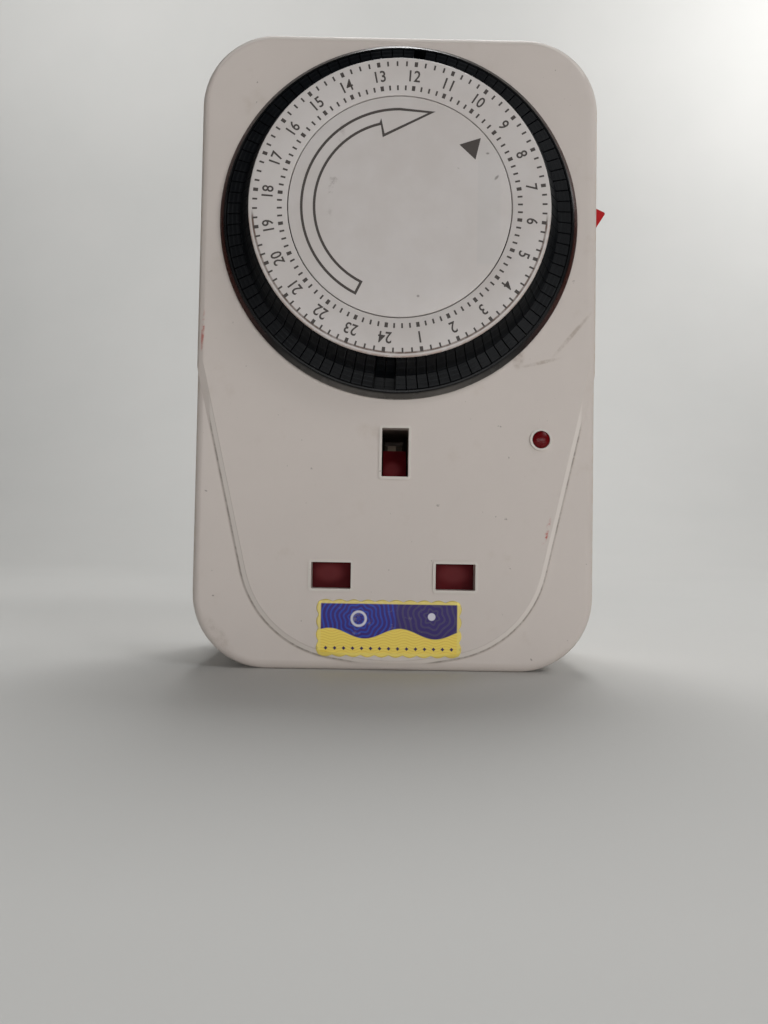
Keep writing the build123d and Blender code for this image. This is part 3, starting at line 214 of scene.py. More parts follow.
# %% Wires and finishes
class Wire:
    """One output in a material's tree. Arithmetic on wires adds Math nodes and gives a new wire."""

    def __init__(self, finish, socket):
        self.finish, self.socket = finish, socket

    def math(self, operation, *values):
        """One Math node that does an operation on the values."""
        return self.finish.node("Math", {"operation": operation}, *values)

    def __add__(self, other):
        return self.math("ADD", self, other)

    def __sub__(self, other):
        return self.math("SUBTRACT", self, other)

    def __rsub__(self, other):
        return self.math("SUBTRACT", other, self)

    def __mul__(self, other):
        return self.math("MULTIPLY", self, other)

    def __truediv__(self, other):
        return self.math("DIVIDE", self, other)

    def __pow__(self, other):
        return self.math("POWER", self, other)

    def __abs__(self):
        return self.math("ABSOLUTE", self)

    def sine(self):
        """Sine of an angle in radians."""
        return self.math("SINE", self)

    __radd__, __rmul__ = __add__, __mul__


class Finish:
    """A material with one Principled surface, and a method that makes any other node in its tree."""

    def __init__(self, name, **surface):
        self.material = bpy.data.materials.new(name)
        self.material.use_nodes = True
        self.tree = self.material.node_tree
        self.surface = self.tree.nodes["Principled BSDF"]
        self.set(**surface)
        self.place = self.node("TexCoord", output="Object")

    def feed(self, socket, value):
        """A wire is linked to the socket; anything else becomes its value."""
        if isinstance(value, Wire):
            self.tree.links.new(value.socket, socket)
        elif isinstance(value, (tuple, list)) and socket.type == "RGBA":
            socket.default_value = (*value[:3], 1.0)
        else:
            socket.default_value = value

    def set(self, **values):
        """Feeds the surface's own sockets, by their names with _ for each space."""
        for name, value in values.items():
            self.feed(self.surface.inputs[name.replace("_", " ")], value)

    def node(self, kind, settings=None, *values, output=0, **named):
        """Any node: its kind, its settings, then what goes into its sockets, by place or by name."""
        made = self.tree.nodes.new("ShaderNode" + kind)
        for name, value in (settings or {}).items():
            setattr(made, name, value)
        for socket, value in zip(made.inputs, values):
            self.feed(socket, value)
        for name, value in named.items():
            self.feed(made.inputs[name.replace("_", " ")], value)
        return Wire(self, made.outputs[output])

    def axes(self):
        """X, depth and Z of a point on the piece, in millimetres."""
        split = self.node("SeparateXYZ", None, self.place).socket.node
        x, y, z = (Wire(self, socket) for socket in split.outputs)
        return x / MM, y / -MM, z / MM

    def radius(self):
        """Distance from the dial's axis in millimetres: the root of x squared plus height squared."""
        x, _, z = self.axes()
        return (x**2.0 + (z - DIAL_Z) ** 2.0) ** 0.5

    def noise(self, scale, detail=3.0, roughness=0.5, at=None):
        """Soft cloudy noise in 3-D, with a scale in features per metre."""
        where = at or self.place
        return self.node("TexNoise", None, Vector=where, Scale=scale, Detail=detail, Roughness=roughness)

    def ramp(self, value, low, high):
        """0 below low, 1 above high and a smooth step between."""
        return self.node("MapRange", {"interpolation_type": "SMOOTHSTEP"}, value, low, high, 0.0, 1.0)

    def line(self, value, place, half):
        """1 where a value is at a place, and 0 from twice half a width away: 1 minus a ramp of |v - p|."""
        return 1 - self.ramp(abs(value - place), half * 0.6, half * 2)

    def spot(self, x, z, wide, tall, turn=0.0):
        """1 in the middle of a turned ellipse, 0 outside: the length of the turned offset over its reach."""
        inside = self.node(
            "Mapping",
            {"vector_type": "TEXTURE"},
            self.place,
            (x * MM, 0, z * MM),
            (0, radians(turn), 0),
            (wide * MM, 1, tall * MM),
        )
        return 1 - self.ramp(self.node("VectorMath", {"operation": "LENGTH"}, inside, output=1), 0.35, 1.0)

    def mix(self, amount, first, second):
        """Two colours mixed by an amount."""
        made = self.tree.nodes.new("ShaderNodeMix")
        made.data_type = "RGBA"
        for index, value in ((0, amount), (6, first), (7, second)):
            self.feed(made.inputs[index], value)
        return Wire(self, made.outputs[2])

    def bump(self, height, depth, strength=1.0):
        """Bends the normal as if the surface rose by height times a depth in millimetres."""
        self.set(Normal=self.node("Bump", None, Height=height, Distance=depth * MM, Strength=strength))


finishes = {}

# %% [markdown]
# ## The grey case
#
# The case is moulded in a warm light grey with a very fine spark-eroded texture: dull, yet with a soft sheen
# along its rounded edges. Three noises at three scales give clouds, a fine grain and small dark specks.
#
# The front carries painted light as well as wear. The foot of the raised panel's step is painted darker, a
# painted shade in the crease; it is the only place that lies between 36.2 and 36.5 mm deep, so a narrow band
# of depth finds it without any drawing. The slope above it, the raised rims and the neon's collar are painted
# paler, a painted highlight, and the long front edges have gone a little brown. Something red brushed past
# twice, and years of use left a few scuffs below the dial.

# %% Case finish
def case_finish(name, worn_and_shaded):
    """Grey moulding: clouds mix two greys, specks darken them; the front adds painted shade, painted
    highlights, stains and scuffs.
    """
    f = Finish(name, Roughness=0.5, Specular_IOR_Level=0.35)
    clouds = f.noise(45.0, 4.0, 0.6)
    smears = f.ramp(f.noise(130.0, 5.0, 0.65), 0.58, 0.8)
    specks = f.ramp(f.noise(900.0, 2.0, 0.6), 0.74, 0.79)
    grey = f.mix(clouds, paint(209, 199, 192), paint(219, 209, 202))
    grey = f.mix(smears * 0.3, grey, paint(188, 172, 156))
    dull = 0.44 + clouds * 0.16
    if worn_and_shaded:
        x, depth, z = f.axes()
        broken = f.ramp(f.noise(700.0, 4.0, 0.7), 0.4, 0.62)
        on_panel = (1 - f.ramp(abs(x), 33.2, 33.8)) * f.ramp(z, TABLE_Z + 1.3, TABLE_Z + 1.9)
        # Painted shade: the foot of the panel's step, a crease, is painted darker.
        crease_shade = f.line(depth, 36.4, 0.075) * on_panel
        grey = f.mix(crease_shade * (0.26 + broken * 0.34), grey, paint(112, 98, 86))
        # Painted highlight: the slope of the panel's step is painted paler.
        slope_highlight = f.ramp(depth, 36.44, 36.52) * (1 - f.ramp(depth, 36.86, 36.96)) * on_panel
        grey = f.mix(slope_highlight * 0.8, grey, paint(233, 225, 218))
        edges = f.ramp(abs(x), 35.5, 36.2) * f.ramp(depth, 33.0, 35.0) * broken
        grey = f.mix(edges * 0.4, grey, paint(204, 176, 146))
        # Painted highlight: the raised rims and the neon's collar are painted paler.
        raised_highlight = f.ramp(depth, 37.06, 37.2)
        grey = f.mix(raised_highlight * 0.5, grey, paint(222, 216, 208))
        scuffs = f.spot(31.6, -23.9, 6.2, 0.5, -50) + f.spot(26.0, -29.0, 4.6, 0.45, -14)
        scuffs = scuffs + f.spot(22.0, -28.5, 1.3, 2.2, 12) + f.spot(-31.0, -79.0, 5.5, 1.4, 52) * 0.5
        grey = f.mix(scuffs * (0.1 + broken * 0.3), grey, paint(138, 117, 98))
        red = f.spot(-35.05, -24.4, 0.4, 4.6, 3) + f.spot(27.5, -59.2, 0.45, 2.6, 14)
        red = red + f.spot(27.1, -61.0, 0.4, 1.2, 30)
        grey = f.mix(red * broken * 0.75, grey, paint(186, 84, 74))
        dull = dull + scuffs * 0.12
    f.set(Base_Color=f.mix(specks * 0.5, grey, paint(98, 84, 72)), Roughness=dull)
    f.bump(f.noise(5200.0, 2.0, 0.5), 0.012, 0.6)
    return f.material


finishes["case_grey"] = case_finish("case_grey", False)
finishes["case_front"] = case_finish("case_front", True)
print("case:", len(finishes["case_front"].node_tree.nodes), "nodes on the handled front")

# %% [markdown]
# ## Black mouldings
#
# The dial and its segments are black plastic. They look alike, but the dial's rim is glossy and catches long
# highlights, while the segments are rubbed dull by fingers and have fine ribs round the dial for grip: a sine
# of the radius, 0.8 mm from rib to rib. The rib crests are also painted a little paler, a painted highlight
# that grows with the dust. The rim's lower side is painted paler grey, a painted reflection mottled by dust,
# and its left and right flanks are painted reddish brown. The printing's ink is a warm black that has worn
# thin in places.

# %% Black finishes
RIB_PITCH = 0.8


def black_finish(name, tone, roughness, dust, gloss=0.35, on_rim=False, ribbed=False):
    """Black plastic under a film of dust: ribs are sin(2 pi r / pitch), and the rim has r over 31.5 mm."""
    f = Finish(name, Specular_IOR_Level=gloss)
    film = f.ramp(f.noise(160.0, 5.0, 0.6), 0.45, 0.8)
    grains = f.ramp(f.noise(1500.0, 2.0, 0.5), 0.66, 0.74)
    colour = f.mix((film * 0.6 + grains) * dust, tone, paint(126, 120, 112))
    relief = f.noise(2600.0, 3.0, 0.5) * 0.25
    if ribbed:
        # Painted highlight: the rib crests are painted paler, more so where dust lies.
        rib_crests_and_highlight = f.ramp((f.radius() * (2 * pi / RIB_PITCH)).sine(), 0.3, 1.0)
        colour = f.mix(rib_crests_and_highlight * (0.06 + film * 0.28), colour, paint(62, 65, 68))
        relief = relief + rib_crests_and_highlight
    if on_rim:
        x, _, z = f.axes()
        rim = f.ramp(f.radius(), 31.3, 31.7)
        # The rim's left and right flanks are painted reddish brown.
        flanks = rim * f.ramp(abs(x), 20.0, 30.0)
        colour = f.mix(flanks * 0.6, colour, paint(74, 34, 26))
        # Painted reflection: the rim's lower side is painted paler grey, mottled by dust.
        below = rim * (1 - f.ramp(z, DIAL_Z - 31.0, DIAL_Z - 22.0))
        colour = f.mix(below * (0.5 + film * 0.3), colour, paint(112, 108, 104))
    f.set(Base_Color=colour, Roughness=roughness + film * 0.2)
    f.bump(relief, 0.04, 0.5)
    return f.material


finishes["dial_black"] = black_finish("dial_black", paint(13, 14, 16), 0.26, 0.02, 0.2, on_rim=True)
finishes["tappet_black"] = black_finish("tappet_black", paint(11, 13, 16), 0.42, 0.01, 0.12, ribbed=True)
finishes["sleeve_black"] = black_finish("sleeve_black", paint(24, 24, 25), 0.5, 0.03)
finishes["switch_body"] = black_finish("switch_body", paint(30, 29, 30), 0.45, 0.03)
finishes["printing_ink"] = black_finish("printing_ink", paint(82, 76, 73), 0.5, 0.12, 0.2)
print("segments:", len(finishes["tappet_black"].node_tree.nodes), "nodes, ribs every", RIB_PITCH, "mm")

# %% [markdown]
# ## White printed faces
#
# The hour ring and the fixed disc are white and satin. On its lower half the ring has a thin dark brown line
# near its outer edge, and its outer edge is browner: that is a thin band of radius, and the lower half is one
# of Z. The disc keeps a pale upright stripe where a strip of tape has been, a few small dark nicks and, on
# its left, a smear of fine rubbed marks.

# %% Ring and disc finish
def printed_finish(name, on_ring):
    """Satin white: clouds mix two whites. The ring has bands of radius on its lower half, the disc spots."""
    f = Finish(name, Specular_IOR_Level=0.3)
    x, _, z = f.axes()
    clouds = f.noise(80.0, 4.0, 0.6)
    specks = f.ramp(f.noise(650.0, 2.0, 0.6), 0.75, 0.8)
    white = f.mix(f.ramp(clouds, 0.35, 0.7), paint(214, 208, 205), paint(208, 201, 197))
    if on_ring:
        radius = f.radius()
        lower = 1 - f.ramp(z, DIAL_Z - 3.0, DIAL_Z - 0.5)
        broken = f.ramp(f.noise(600.0, 4.0, 0.7), 0.34, 0.6)
        # On the lower half: a thin dark brown line near the outer edge, and a browner outer edge.
        crease = f.line(radius, 25.46, 0.13) * lower
        white = f.mix(crease * (0.55 + broken * 0.4), white, paint(98, 74, 60))
        edge = f.ramp(radius, RING_OUTER - 0.5, RING_OUTER - 0.05) * lower
        white = f.mix(edge * broken * 0.5, white, paint(176, 140, 122))
    else:
        stripe = f.ramp(x, 13.2, 13.5) * (1 - f.ramp(x, 17.0, 17.6)) * (1 - f.ramp(abs(z + 3.0), 10.4, 11.2))
        white = f.mix(stripe * (0.1 + clouds * 0.25), white, paint(196, 194, 192))
        nicks = f.spot(16.6, 1.4, 0.7, 0.3, -50) + f.spot(3.35, -19.5, 0.35, 0.3)
        nicks = nicks + f.spot(15.0, 5.6, 0.4, 0.25)
        white = f.mix(nicks * 0.6, white, paint(92, 82, 76))
        rubbed_and_lit = f.spot(-11.2, 2.2, 1.0, 11.0, 8) * f.ramp(f.noise(420.0, 5.0, 0.75), 0.5, 0.62)
        white = f.mix(rubbed_and_lit * 0.4, white, paint(122, 108, 104))
    f.set(Base_Color=f.mix(specks * 0.35, white, paint(120, 106, 96)), Roughness=0.3 + clouds * 0.14)
    f.bump(f.noise(3600.0, 2.0, 0.5), 0.005, 0.4)
    return f.material


finishes["hour_ring_white"] = printed_finish("hour_ring_white", True)
finishes["ring_white"] = printed_finish("ring_white", False)
print("white faces:", len(finishes["ring_white"].node_tree.nodes), "nodes on the disc")

# %% [markdown]
# ## Red, maroon and natural mouldings
#
# The override switch is a bright red, and the shutter behind the socket's holes a dark maroon, painted paler
# in the middle of each hole: a painted pool of light that leaves the hole's edges dark. One function makes
# all
# plain mouldings: a tone, a shade that it wanders to, how dull it is, how deep its grain goes, and which
# spots are painted paler as a pool of light.

# %% Coloured mouldings
def moulded_finish(name, tone, shade, roughness, grain=0.01, gloss=0.4, rubbed_and_lit=()):
    """A plain moulding: 0.6 clouds + 0.4 flow mixes tone and shade, and each listed spot is painted paler,
    painted light.
    """
    f = Finish(name, Specular_IOR_Level=gloss)
    clouds = f.noise(90.0, 4.0, 0.6)
    specks = f.ramp(f.noise(700.0, 2.0, 0.6), 0.74, 0.79)
    flow = f.noise(300.0, 3.0, 0.6, at=f.node("Mapping", None, Vector=f.place, Scale=(1.0, 1.0, 0.12)))
    colour = f.mix(f.ramp(clouds * 0.6 + flow * 0.4, 0.38, 0.68), tone, shade)
    for x, z, wide, tall in rubbed_and_lit:
        # Painted light: each listed spot is painted paler, a pool of light in the middle of a hole.
        lit_spot = f.spot(x, z, wide, tall)
        colour = f.mix(lit_spot * (0.3 + flow * 0.4), colour, paint(128, 58, 60))
    f.set(Base_Color=f.mix(specks * 0.35, colour, paint(90, 80, 72)), Roughness=roughness + clouds * 0.15)
    f.bump(f.noise(3600.0, 2.0, 0.5), grain, 0.5)
    return f.material


# Middles of the shutter's three holes, painted paler as a pool of light: x, z, wide and tall.
SHUTTER_LIT_SPOTS = [(-11.6, -67.6, 3.6, 2.2), (11.0, -67.6, 3.6, 2.2), (-0.4, -48.4, 2.2, 2.0)]
finishes["switch_red"] = moulded_finish("switch_red", paint(184, 14, 20), paint(160, 10, 16), 0.4, gloss=0.2)
finishes["shutter_maroon"] = moulded_finish(
    "shutter_maroon", paint(92, 12, 20), paint(70, 8, 14), 0.55, gloss=0.12, rubbed_and_lit=SHUTTER_LIT_SPOTS
)
finishes["gear_nylon"] = moulded_finish("gear_nylon", paint(228, 224, 208), paint(216, 211, 192), 0.42)
finishes["plate_natural"] = moulded_finish("plate_natural", paint(205, 201, 190), paint(192, 187, 175), 0.5)
finishes["block_grey"] = moulded_finish("block_grey", paint(158, 142, 132), paint(146, 130, 120), 0.6, 0.02)

# %% [markdown]
# ## Lens, lamp and metals
#
# The neon's lens is a deep clear red with a glossy dome, so a little light goes in and comes back from its
# collar, and its rippled inside breaks the light into small sparks. The metals are plated pins, sprung brass
# and zinc-plated steel: a metal is all reflection, so its roughness carries the story, with fine drawn
# streaks along the pins, which slide in and out of a socket. The earth contact is painted near black, painted
# shade deep in its hole with some tarnish, apart from a narrow stripe in its middle that the tips of earth
# pins keep bright.

# %% Clear and metal finishes
def metal_finish(name, tone, roughness, streak, shaded_and_tarnished=False):
    """Metal with lines: noise drawn out along the depth by 1 / streak. Off the pin's path it is painted near
    black: painted shade, with some tarnish.
    """
    f = Finish(name, Metallic=1.0)
    lines = f.noise(2500.0, 3.0, 0.6, at=f.node("Mapping", None, Vector=f.place, Scale=(1.0, streak, 1.0)))
    clouds = f.noise(260.0, 4.0, 0.6)
    metal = f.mix(f.ramp(clouds, 0.4, 0.8) * 0.5, tone, tuple(v * 0.72 for v in tone))
    if shaded_and_tarnished:
        x, _, _ = f.axes()
        # Painted shade: off the pin's path the contact is painted near black, with some tarnish.
        shade_beside_tip = f.ramp(abs(x + 0.3), 0.75, 0.95) * (1 - f.ramp(abs(x), 4.5, 5.0))
        metal = f.mix(shade_beside_tip * 0.85, metal, (0.02, 0.015, 0.012))
    f.set(
        Base_Color=metal,
        Roughness=roughness + lines * 0.16 + clouds * 0.08,
    )
    f.bump(lines, 0.004, 0.5)
    return f.material


def clear_finish(name, tone, roughness, passing, ripple, gloss=0.5):
    """A clear plastic or glass that lets a share of light pass and whose swirl both tints and bends it."""
    f = Finish(name, Transmission_Weight=passing, IOR=1.49, Specular_IOR_Level=gloss)
    swirl = f.noise(1100.0, 2.0, 0.5)
    f.set(Base_Color=f.mix(swirl, tone, tuple(v * 0.6 for v in tone)), Roughness=roughness + swirl * 0.06)
    f.bump(swirl, ripple, 0.8)
    return f.material


finishes["lens_red"] = clear_finish("lens_red", paint(128, 9, 18), 0.24, 0.25, 0.1, gloss=0.12)
finishes["lamp_glass"] = clear_finish("lamp_glass", paint(240, 205, 180), 0.08, 0.6, 0.02)
finishes["plated_brass"] = metal_finish("plated_brass", (0.74, 0.72, 0.68), 0.2, 0.05)
finishes["contact_brass"] = metal_finish("contact_brass", (0.27, 0.21, 0.16), 0.42, 0.1, shaded_and_tarnished=True)
finishes["screw_steel"] = metal_finish("screw_steel", (0.56, 0.56, 0.55), 0.3, 1.0)
finishes["motor_steel"] = metal_finish("motor_steel", (0.58, 0.57, 0.53), 0.35, 0.2)
print(len(finishes), "finishes so far")

# %% [markdown]
# ## Pieces that show
#
# Only some solid pieces are seen closely. Those get the rounded copies, each with a width that suits its
# size. The case is the one exception to the 30 degree rule: the step round its raised panel slopes by just
# under 30 degrees, so its edges would be smoothed away. Counting every turn over 18 degrees as an edge keeps
# the panel crisp.

# %% Rounded copies
SOFT_WIDTHS = {
    "rear_cover": 0.2,
    "dial_wheel": 0.1,
    "override_switch": 0.12,
    "shutter": 0.12,
    "socket_block": 0.15,
    "pin_line": 0.15,
    "pin_neutral": 0.15,
    "pin_earth": 0.15,
    "sleeve_line": 0.08,
    "sleeve_neutral": 0.08,
    "cover_screws": 0.12,
}
front = softened("front_cover", 0.12, angle=18, finish="case_front")
for node, width in SOFT_WIDTHS.items():
    softened(node, width)
for node in [name for name in nodes if "tappets" in name]:
    softened(node, 0.07)
print(len(dressed), "rounded copies")

# %% [markdown]
# ## The hour ring and the disc
#
# Both are turned parts: one profile, swept round the dial's centre. They could be spun with a modifier, but a
# profile as an array is exact and closes on itself. The ring's profile is a closed loop; the disc's runs
# from the axis to the axis, so its poles close too. Their faces lie 0.02 mm under the dial's full height,
# which leaves room for the ink.

# %% Turned parts
INK_DEPTH = 0.02
FACE_TOP = TOP - INK_DEPTH
RING_THICK = 0.6
RING_ROUND = 0.3
INNER_ROUND = 0.1
BACK_ROUND = 0.06
DISC_THICK = 0.9
DISC_GAP = 0.16
DISC_ROUND = 0.12
SPIGOT_RADIUS = 3.0
SPIGOT_END = FACE + 0.25


def corner(radius, depth, ease, start, end, count=5):
    """A rounded corner of a profile: centre plus ease times (cos, sin) of angles from start to end."""
    turn = np.radians(np.linspace(start, end, count))
    return np.stack([radius + ease * np.cos(turn), depth + ease * np.sin(turn)], axis=1)


def swept(profile, steps, closed):
    """A surface of revolution: every (radius, depth) of the profile at every bearing round the dial."""
    bearing = np.linspace(0, 360, steps, endpoint=False)[:, None]
    return clock(profile[:, 0], bearing, profile[:, 1]), quads(steps, len(profile), True, closed)


ring_profile = np.concatenate(
    [
        corner(RING_INNER + INNER_ROUND, FACE_TOP - INNER_ROUND, INNER_ROUND, 180, 90, 4),
        corner(RING_OUTER - RING_ROUND, FACE_TOP - RING_ROUND, RING_ROUND, 90, 0, 7),
        corner(RING_OUTER - BACK_ROUND, TOP - RING_THICK + BACK_ROUND, BACK_ROUND, 0, -90, 3),
        [[RING_INNER, TOP - RING_THICK]],
    ]
)
make("hour_ring_face", *swept(ring_profile, 240, True), "hour_ring", "hour_ring_white", 40, ["hour_ring"])
disc_edge = RING_INNER - DISC_GAP
disc_back = TOP - DISC_THICK
disc_profile = np.concatenate(
    [
        [[0, SPIGOT_END], [SPIGOT_RADIUS, SPIGOT_END], [SPIGOT_RADIUS, disc_back], [disc_edge, disc_back]],
        corner(disc_edge - DISC_ROUND, FACE_TOP - DISC_ROUND, DISC_ROUND, 0, 90, 5),
        [[14.0, FACE_TOP], [7.0, FACE_TOP], [0, FACE_TOP]],
    ]
)
make("centre_disc_face", *swept(disc_profile, 180, False), "centre_disc", "ring_white", 40, ["centre_disc"])

# %% [markdown]
# ## Printing on the dial
#
# The ring is printed in black: figures from 1 to 24 that run backwards round the clock, because the ring
# turns under a fixed pointer, and two rows of ticks, four to an hour, with the full hour's tick the
# thickest. Ink has no thickness to speak of, yet as a very thin raised mesh it stays crisp at any zoom, where
# a painted pattern would need a very fine grid.

# %% Ticks
PRINT_TURN = 5.6
HOUR_STEP = 15.0
INK_FOOT = FACE_TOP - 0.03


def slabs(outline, low=INK_FOOT, high=TOP):
    """Closed prisms from outlines of shape (count, corners, 2) in radius and bearing, between two depths."""
    count, corners = outline.shape[:2]
    rings = [clock(outline[..., 0], outline[..., 1], depth) for depth in (low, high)]
    points = np.concatenate(rings, axis=1).reshape(-1, 3)
    start = np.arange(count)[:, None] * 2 * corners
    ring = np.arange(corners)[None, :]
    ahead = (ring + 1) % corners
    walls = np.stack([start + ring, start + ahead, start + ahead + corners, start + ring + corners], axis=-1)
    faces = walls.reshape(-1, 4).tolist()
    faces += (start + ring).tolist() + (start + ring + corners).tolist()
    return points, faces


def ticks(inner, outer, wide, thin):
    """Radial bars at every quarter of an hour: half width over radius gives the half angle."""
    quarter = np.arange(96)
    bearing = PRINT_TURN + quarter * HOUR_STEP / 4
    half = np.degrees(np.where(quarter % 4 == 0, wide, thin) / (inner + outer))
    radius = np.array([inner, outer, outer, inner])
    side = np.array([-1, -1, 1, 1])
    shape = np.stack([np.broadcast_to(radius, (96, 4)), bearing[:, None] + half[:, None] * side], axis=-1)
    return slabs(shape)


make("ticks_outer", *ticks(24.6, 25.45, 0.58, 0.31), "hour_ring", "printing_ink")
make("ticks_inner", *ticks(20.35, 21.2, 0.58, 0.31), "hour_ring", "printing_ink")

# %% [markdown]
# The figures are Blender text turned into a mesh first, then laid on the ring as arrays: each figure's own
# left-right runs along the ring and its up points outwards. The text's offset thickens its strokes a little,
# as ink spreads.

# %% Figures
FIGURE_HEIGHT = 2.0
FIGURE_RADIUS = 22.95
STROKE_SPREAD = 0.014


def letters(text, squeeze=0.88):
    """Flat outlines of a text as points and faces, centred, and scaled so that it is one figure high."""
    curve = bpy.data.curves.new(text, "FONT")
    curve.body, curve.align_x, curve.align_y, curve.resolution_u = text, "CENTER", "CENTER", 3
    curve.offset = STROKE_SPREAD
    holder = bpy.data.objects.new(text, curve)
    bpy.context.scene.collection.objects.link(holder)
    bpy.context.view_layer.update()
    mesh = bpy.data.meshes.new_from_object(holder.evaluated_get(bpy.context.evaluated_depsgraph_get()))
    points = np.empty(len(mesh.vertices) * 3)
    mesh.vertices.foreach_get("co", points)
    points = points.reshape(-1, 3)[:, :2]
    faces = [list(cell.vertices) for cell in mesh.polygons]
    bpy.data.objects.remove(holder)
    bpy.data.curves.remove(curve)
    bpy.data.meshes.remove(mesh)
    middle = (points.max(0) + points.min(0)) / 2
    size = FIGURE_HEIGHT / np.ptp(points[:, 1])
    return (points - middle) * size * [squeeze, 1.0], faces


def figures():
    """Every hour's figure at its bearing: radius = ring radius + y, bearing = hour + x over the radius."""
    points, faces, count = [], [], 0
    for hour in range(1, 25):
        flat, cells = letters(str(hour))
        bearing = PRINT_TURN + 180 - HOUR_STEP * hour + np.degrees(flat[:, 0] / FIGURE_RADIUS)
        points.append(clock(FIGURE_RADIUS + flat[:, 1], bearing, TOP))
        faces += [[index + count for index in cell] for cell in cells]
        count += len(flat)
    return np.concatenate(points), faces


make("hour_figures", *figures(), "hour_ring", "printing_ink")

# %% [markdown]
# The fixed disc has a solid pointer that shows the time and a curved arrow for the running direction, drawn
# as an outline. A line of even width along a path is a mitred band: each corner moves half the width along
# the bisector of its two sides, divided by the cosine of half the turn.

# %% Arrow and pointer
ARROW_LINE = 0.45
ARROW_OUTER = 17.0
ARROW_INNER = 14.8
MITRE_LIMIT = 0.35


def band(path, width):
    """Two offset copies of a closed path in (x, z): p plus or minus n w / (2 cos(half turn))."""
    ahead = np.roll(path, -1, 0) - path
    ahead /= np.linalg.norm(ahead, axis=1, keepdims=True)
    normal = np.stack([-ahead[:, 1], ahead[:, 0]], axis=1)
    bisector = normal + np.roll(normal, 1, 0)
    bisector /= np.maximum(np.linalg.norm(bisector, axis=1, keepdims=True), 1e-6)
    reach = width / 2 / np.maximum((bisector * normal).sum(1, keepdims=True), MITRE_LIMIT)
    return path + bisector * reach, path - bisector * reach


def flat_line(path, width):
    """The band between both offsets as a closed tube of four corners a section."""
    left, right = band(path, width)
    corners = [(left, INK_FOOT), (left, TOP), (right, TOP), (right, INK_FOOT)]
    grid = np.stack([np.insert(side, 1, -depth, axis=1) for side, depth in corners], axis=1)
    return grid.reshape(-1, 3), quads(len(path), 4, True, True)


def dial_point(radius, bearing):
    """Clock points on the disc as (x, z)."""
    return clock(np.asarray(radius, float), np.asarray(bearing, float))[..., [0, 2]]


outer_arc = dial_point(np.full(48, ARROW_OUTER), np.linspace(206, 359, 48))
inner_arc = dial_point(np.full(40, ARROW_INNER), np.linspace(346, 206, 40))
head = dial_point([17.35, 12.7, 15.1], [377.6, 346.2, 346.6])
arrow_path = np.concatenate([outer_arc, head, inner_arc])
make("direction_arrow", *flat_line(arrow_path, ARROW_LINE), "centre_disc", "printing_ink")
pointer = np.array([[[14.91, 42.6], [18.41, 48.5], [15.39, 57.0]]])
make("time_pointer", *slabs(pointer), "centre_disc", "printing_ink")

# %% [markdown]
# ## The sticker
#
# A foil sticker sits under the socket's holes. Its edge is scalloped by the die that cut it, so the grid's
# outermost points are pushed out by a row of half waves; a high power of the grid's own coordinate keeps the
# inside calm. It could simply float over the face, but a real one follows what it sticks to. A Shrinkwrap
# projects it onto the case, over the edge of the raised panel, and the result becomes its own mesh. A thin
# Solidify gives it the edge that catches light.

# %% Sticker shape
# Middle X and Z, half the width and half the height
STICKER = (-0.62, -77.22, 12.55, 4.72)
SCALLOP = 0.4


def sticker_grid(columns=161, rows=61):
    """Flat grid: x = a u + s u^11 |sin(2 pi v)|, z = b v + s v^11 |sin(5 pi u)|, for u and v from -1 to 1."""
    middle_x, middle_z, half_x, half_z = STICKER
    u, v = np.meshgrid(np.linspace(-1, 1, columns), np.linspace(-1, 1, rows))
    x = middle_x + half_x * u + SCALLOP * u**11 * np.abs(np.sin(2 * pi * v))
    z = middle_z + half_z * v + SCALLOP * v**11 * np.abs(np.sin(5 * pi * u))
    return np.stack([x, np.full_like(x, -FACE - 1.0), z], axis=-1), quads(rows, columns)


sticker = make("sticker", *sticker_grid(), "front_cover", "sticker_foil", 60)
wrap = sticker.modifiers.new("laid on", "SHRINKWRAP")
wrap.target, wrap.wrap_method, wrap.offset = front, "PROJECT", 0.03 * MM
wrap.use_project_y, wrap.use_negative_direction, wrap.use_positive_direction = True, True, True
laid = bpy.data.meshes.new_from_object(sticker.evaluated_get(bpy.context.evaluated_depsgraph_get()))
sticker.modifiers.clear()
sticker.data = laid
thin = sticker.modifiers.new("foil", "SOLIDIFY")
thin.thickness, thin.offset = 0.06 * MM, 1.0
depths = np.empty(len(laid.vertices) * 3)
laid.vertices.foreach_get("co", depths)
print("sticker lies", np.round([-depths[1::3].max() / MM, -depths[1::3].min() / MM], 3), "mm deep")

# %% [markdown]
# Its print is a made-up pattern of the kind that such foils carry: a violet field with a wavy lower border
# over a yellow one, ring patterns in blue that swing with the angle round their centres, fine yellow lines
# and a row of small diamonds. Each is a formula of the distance from the sticker's own middle.

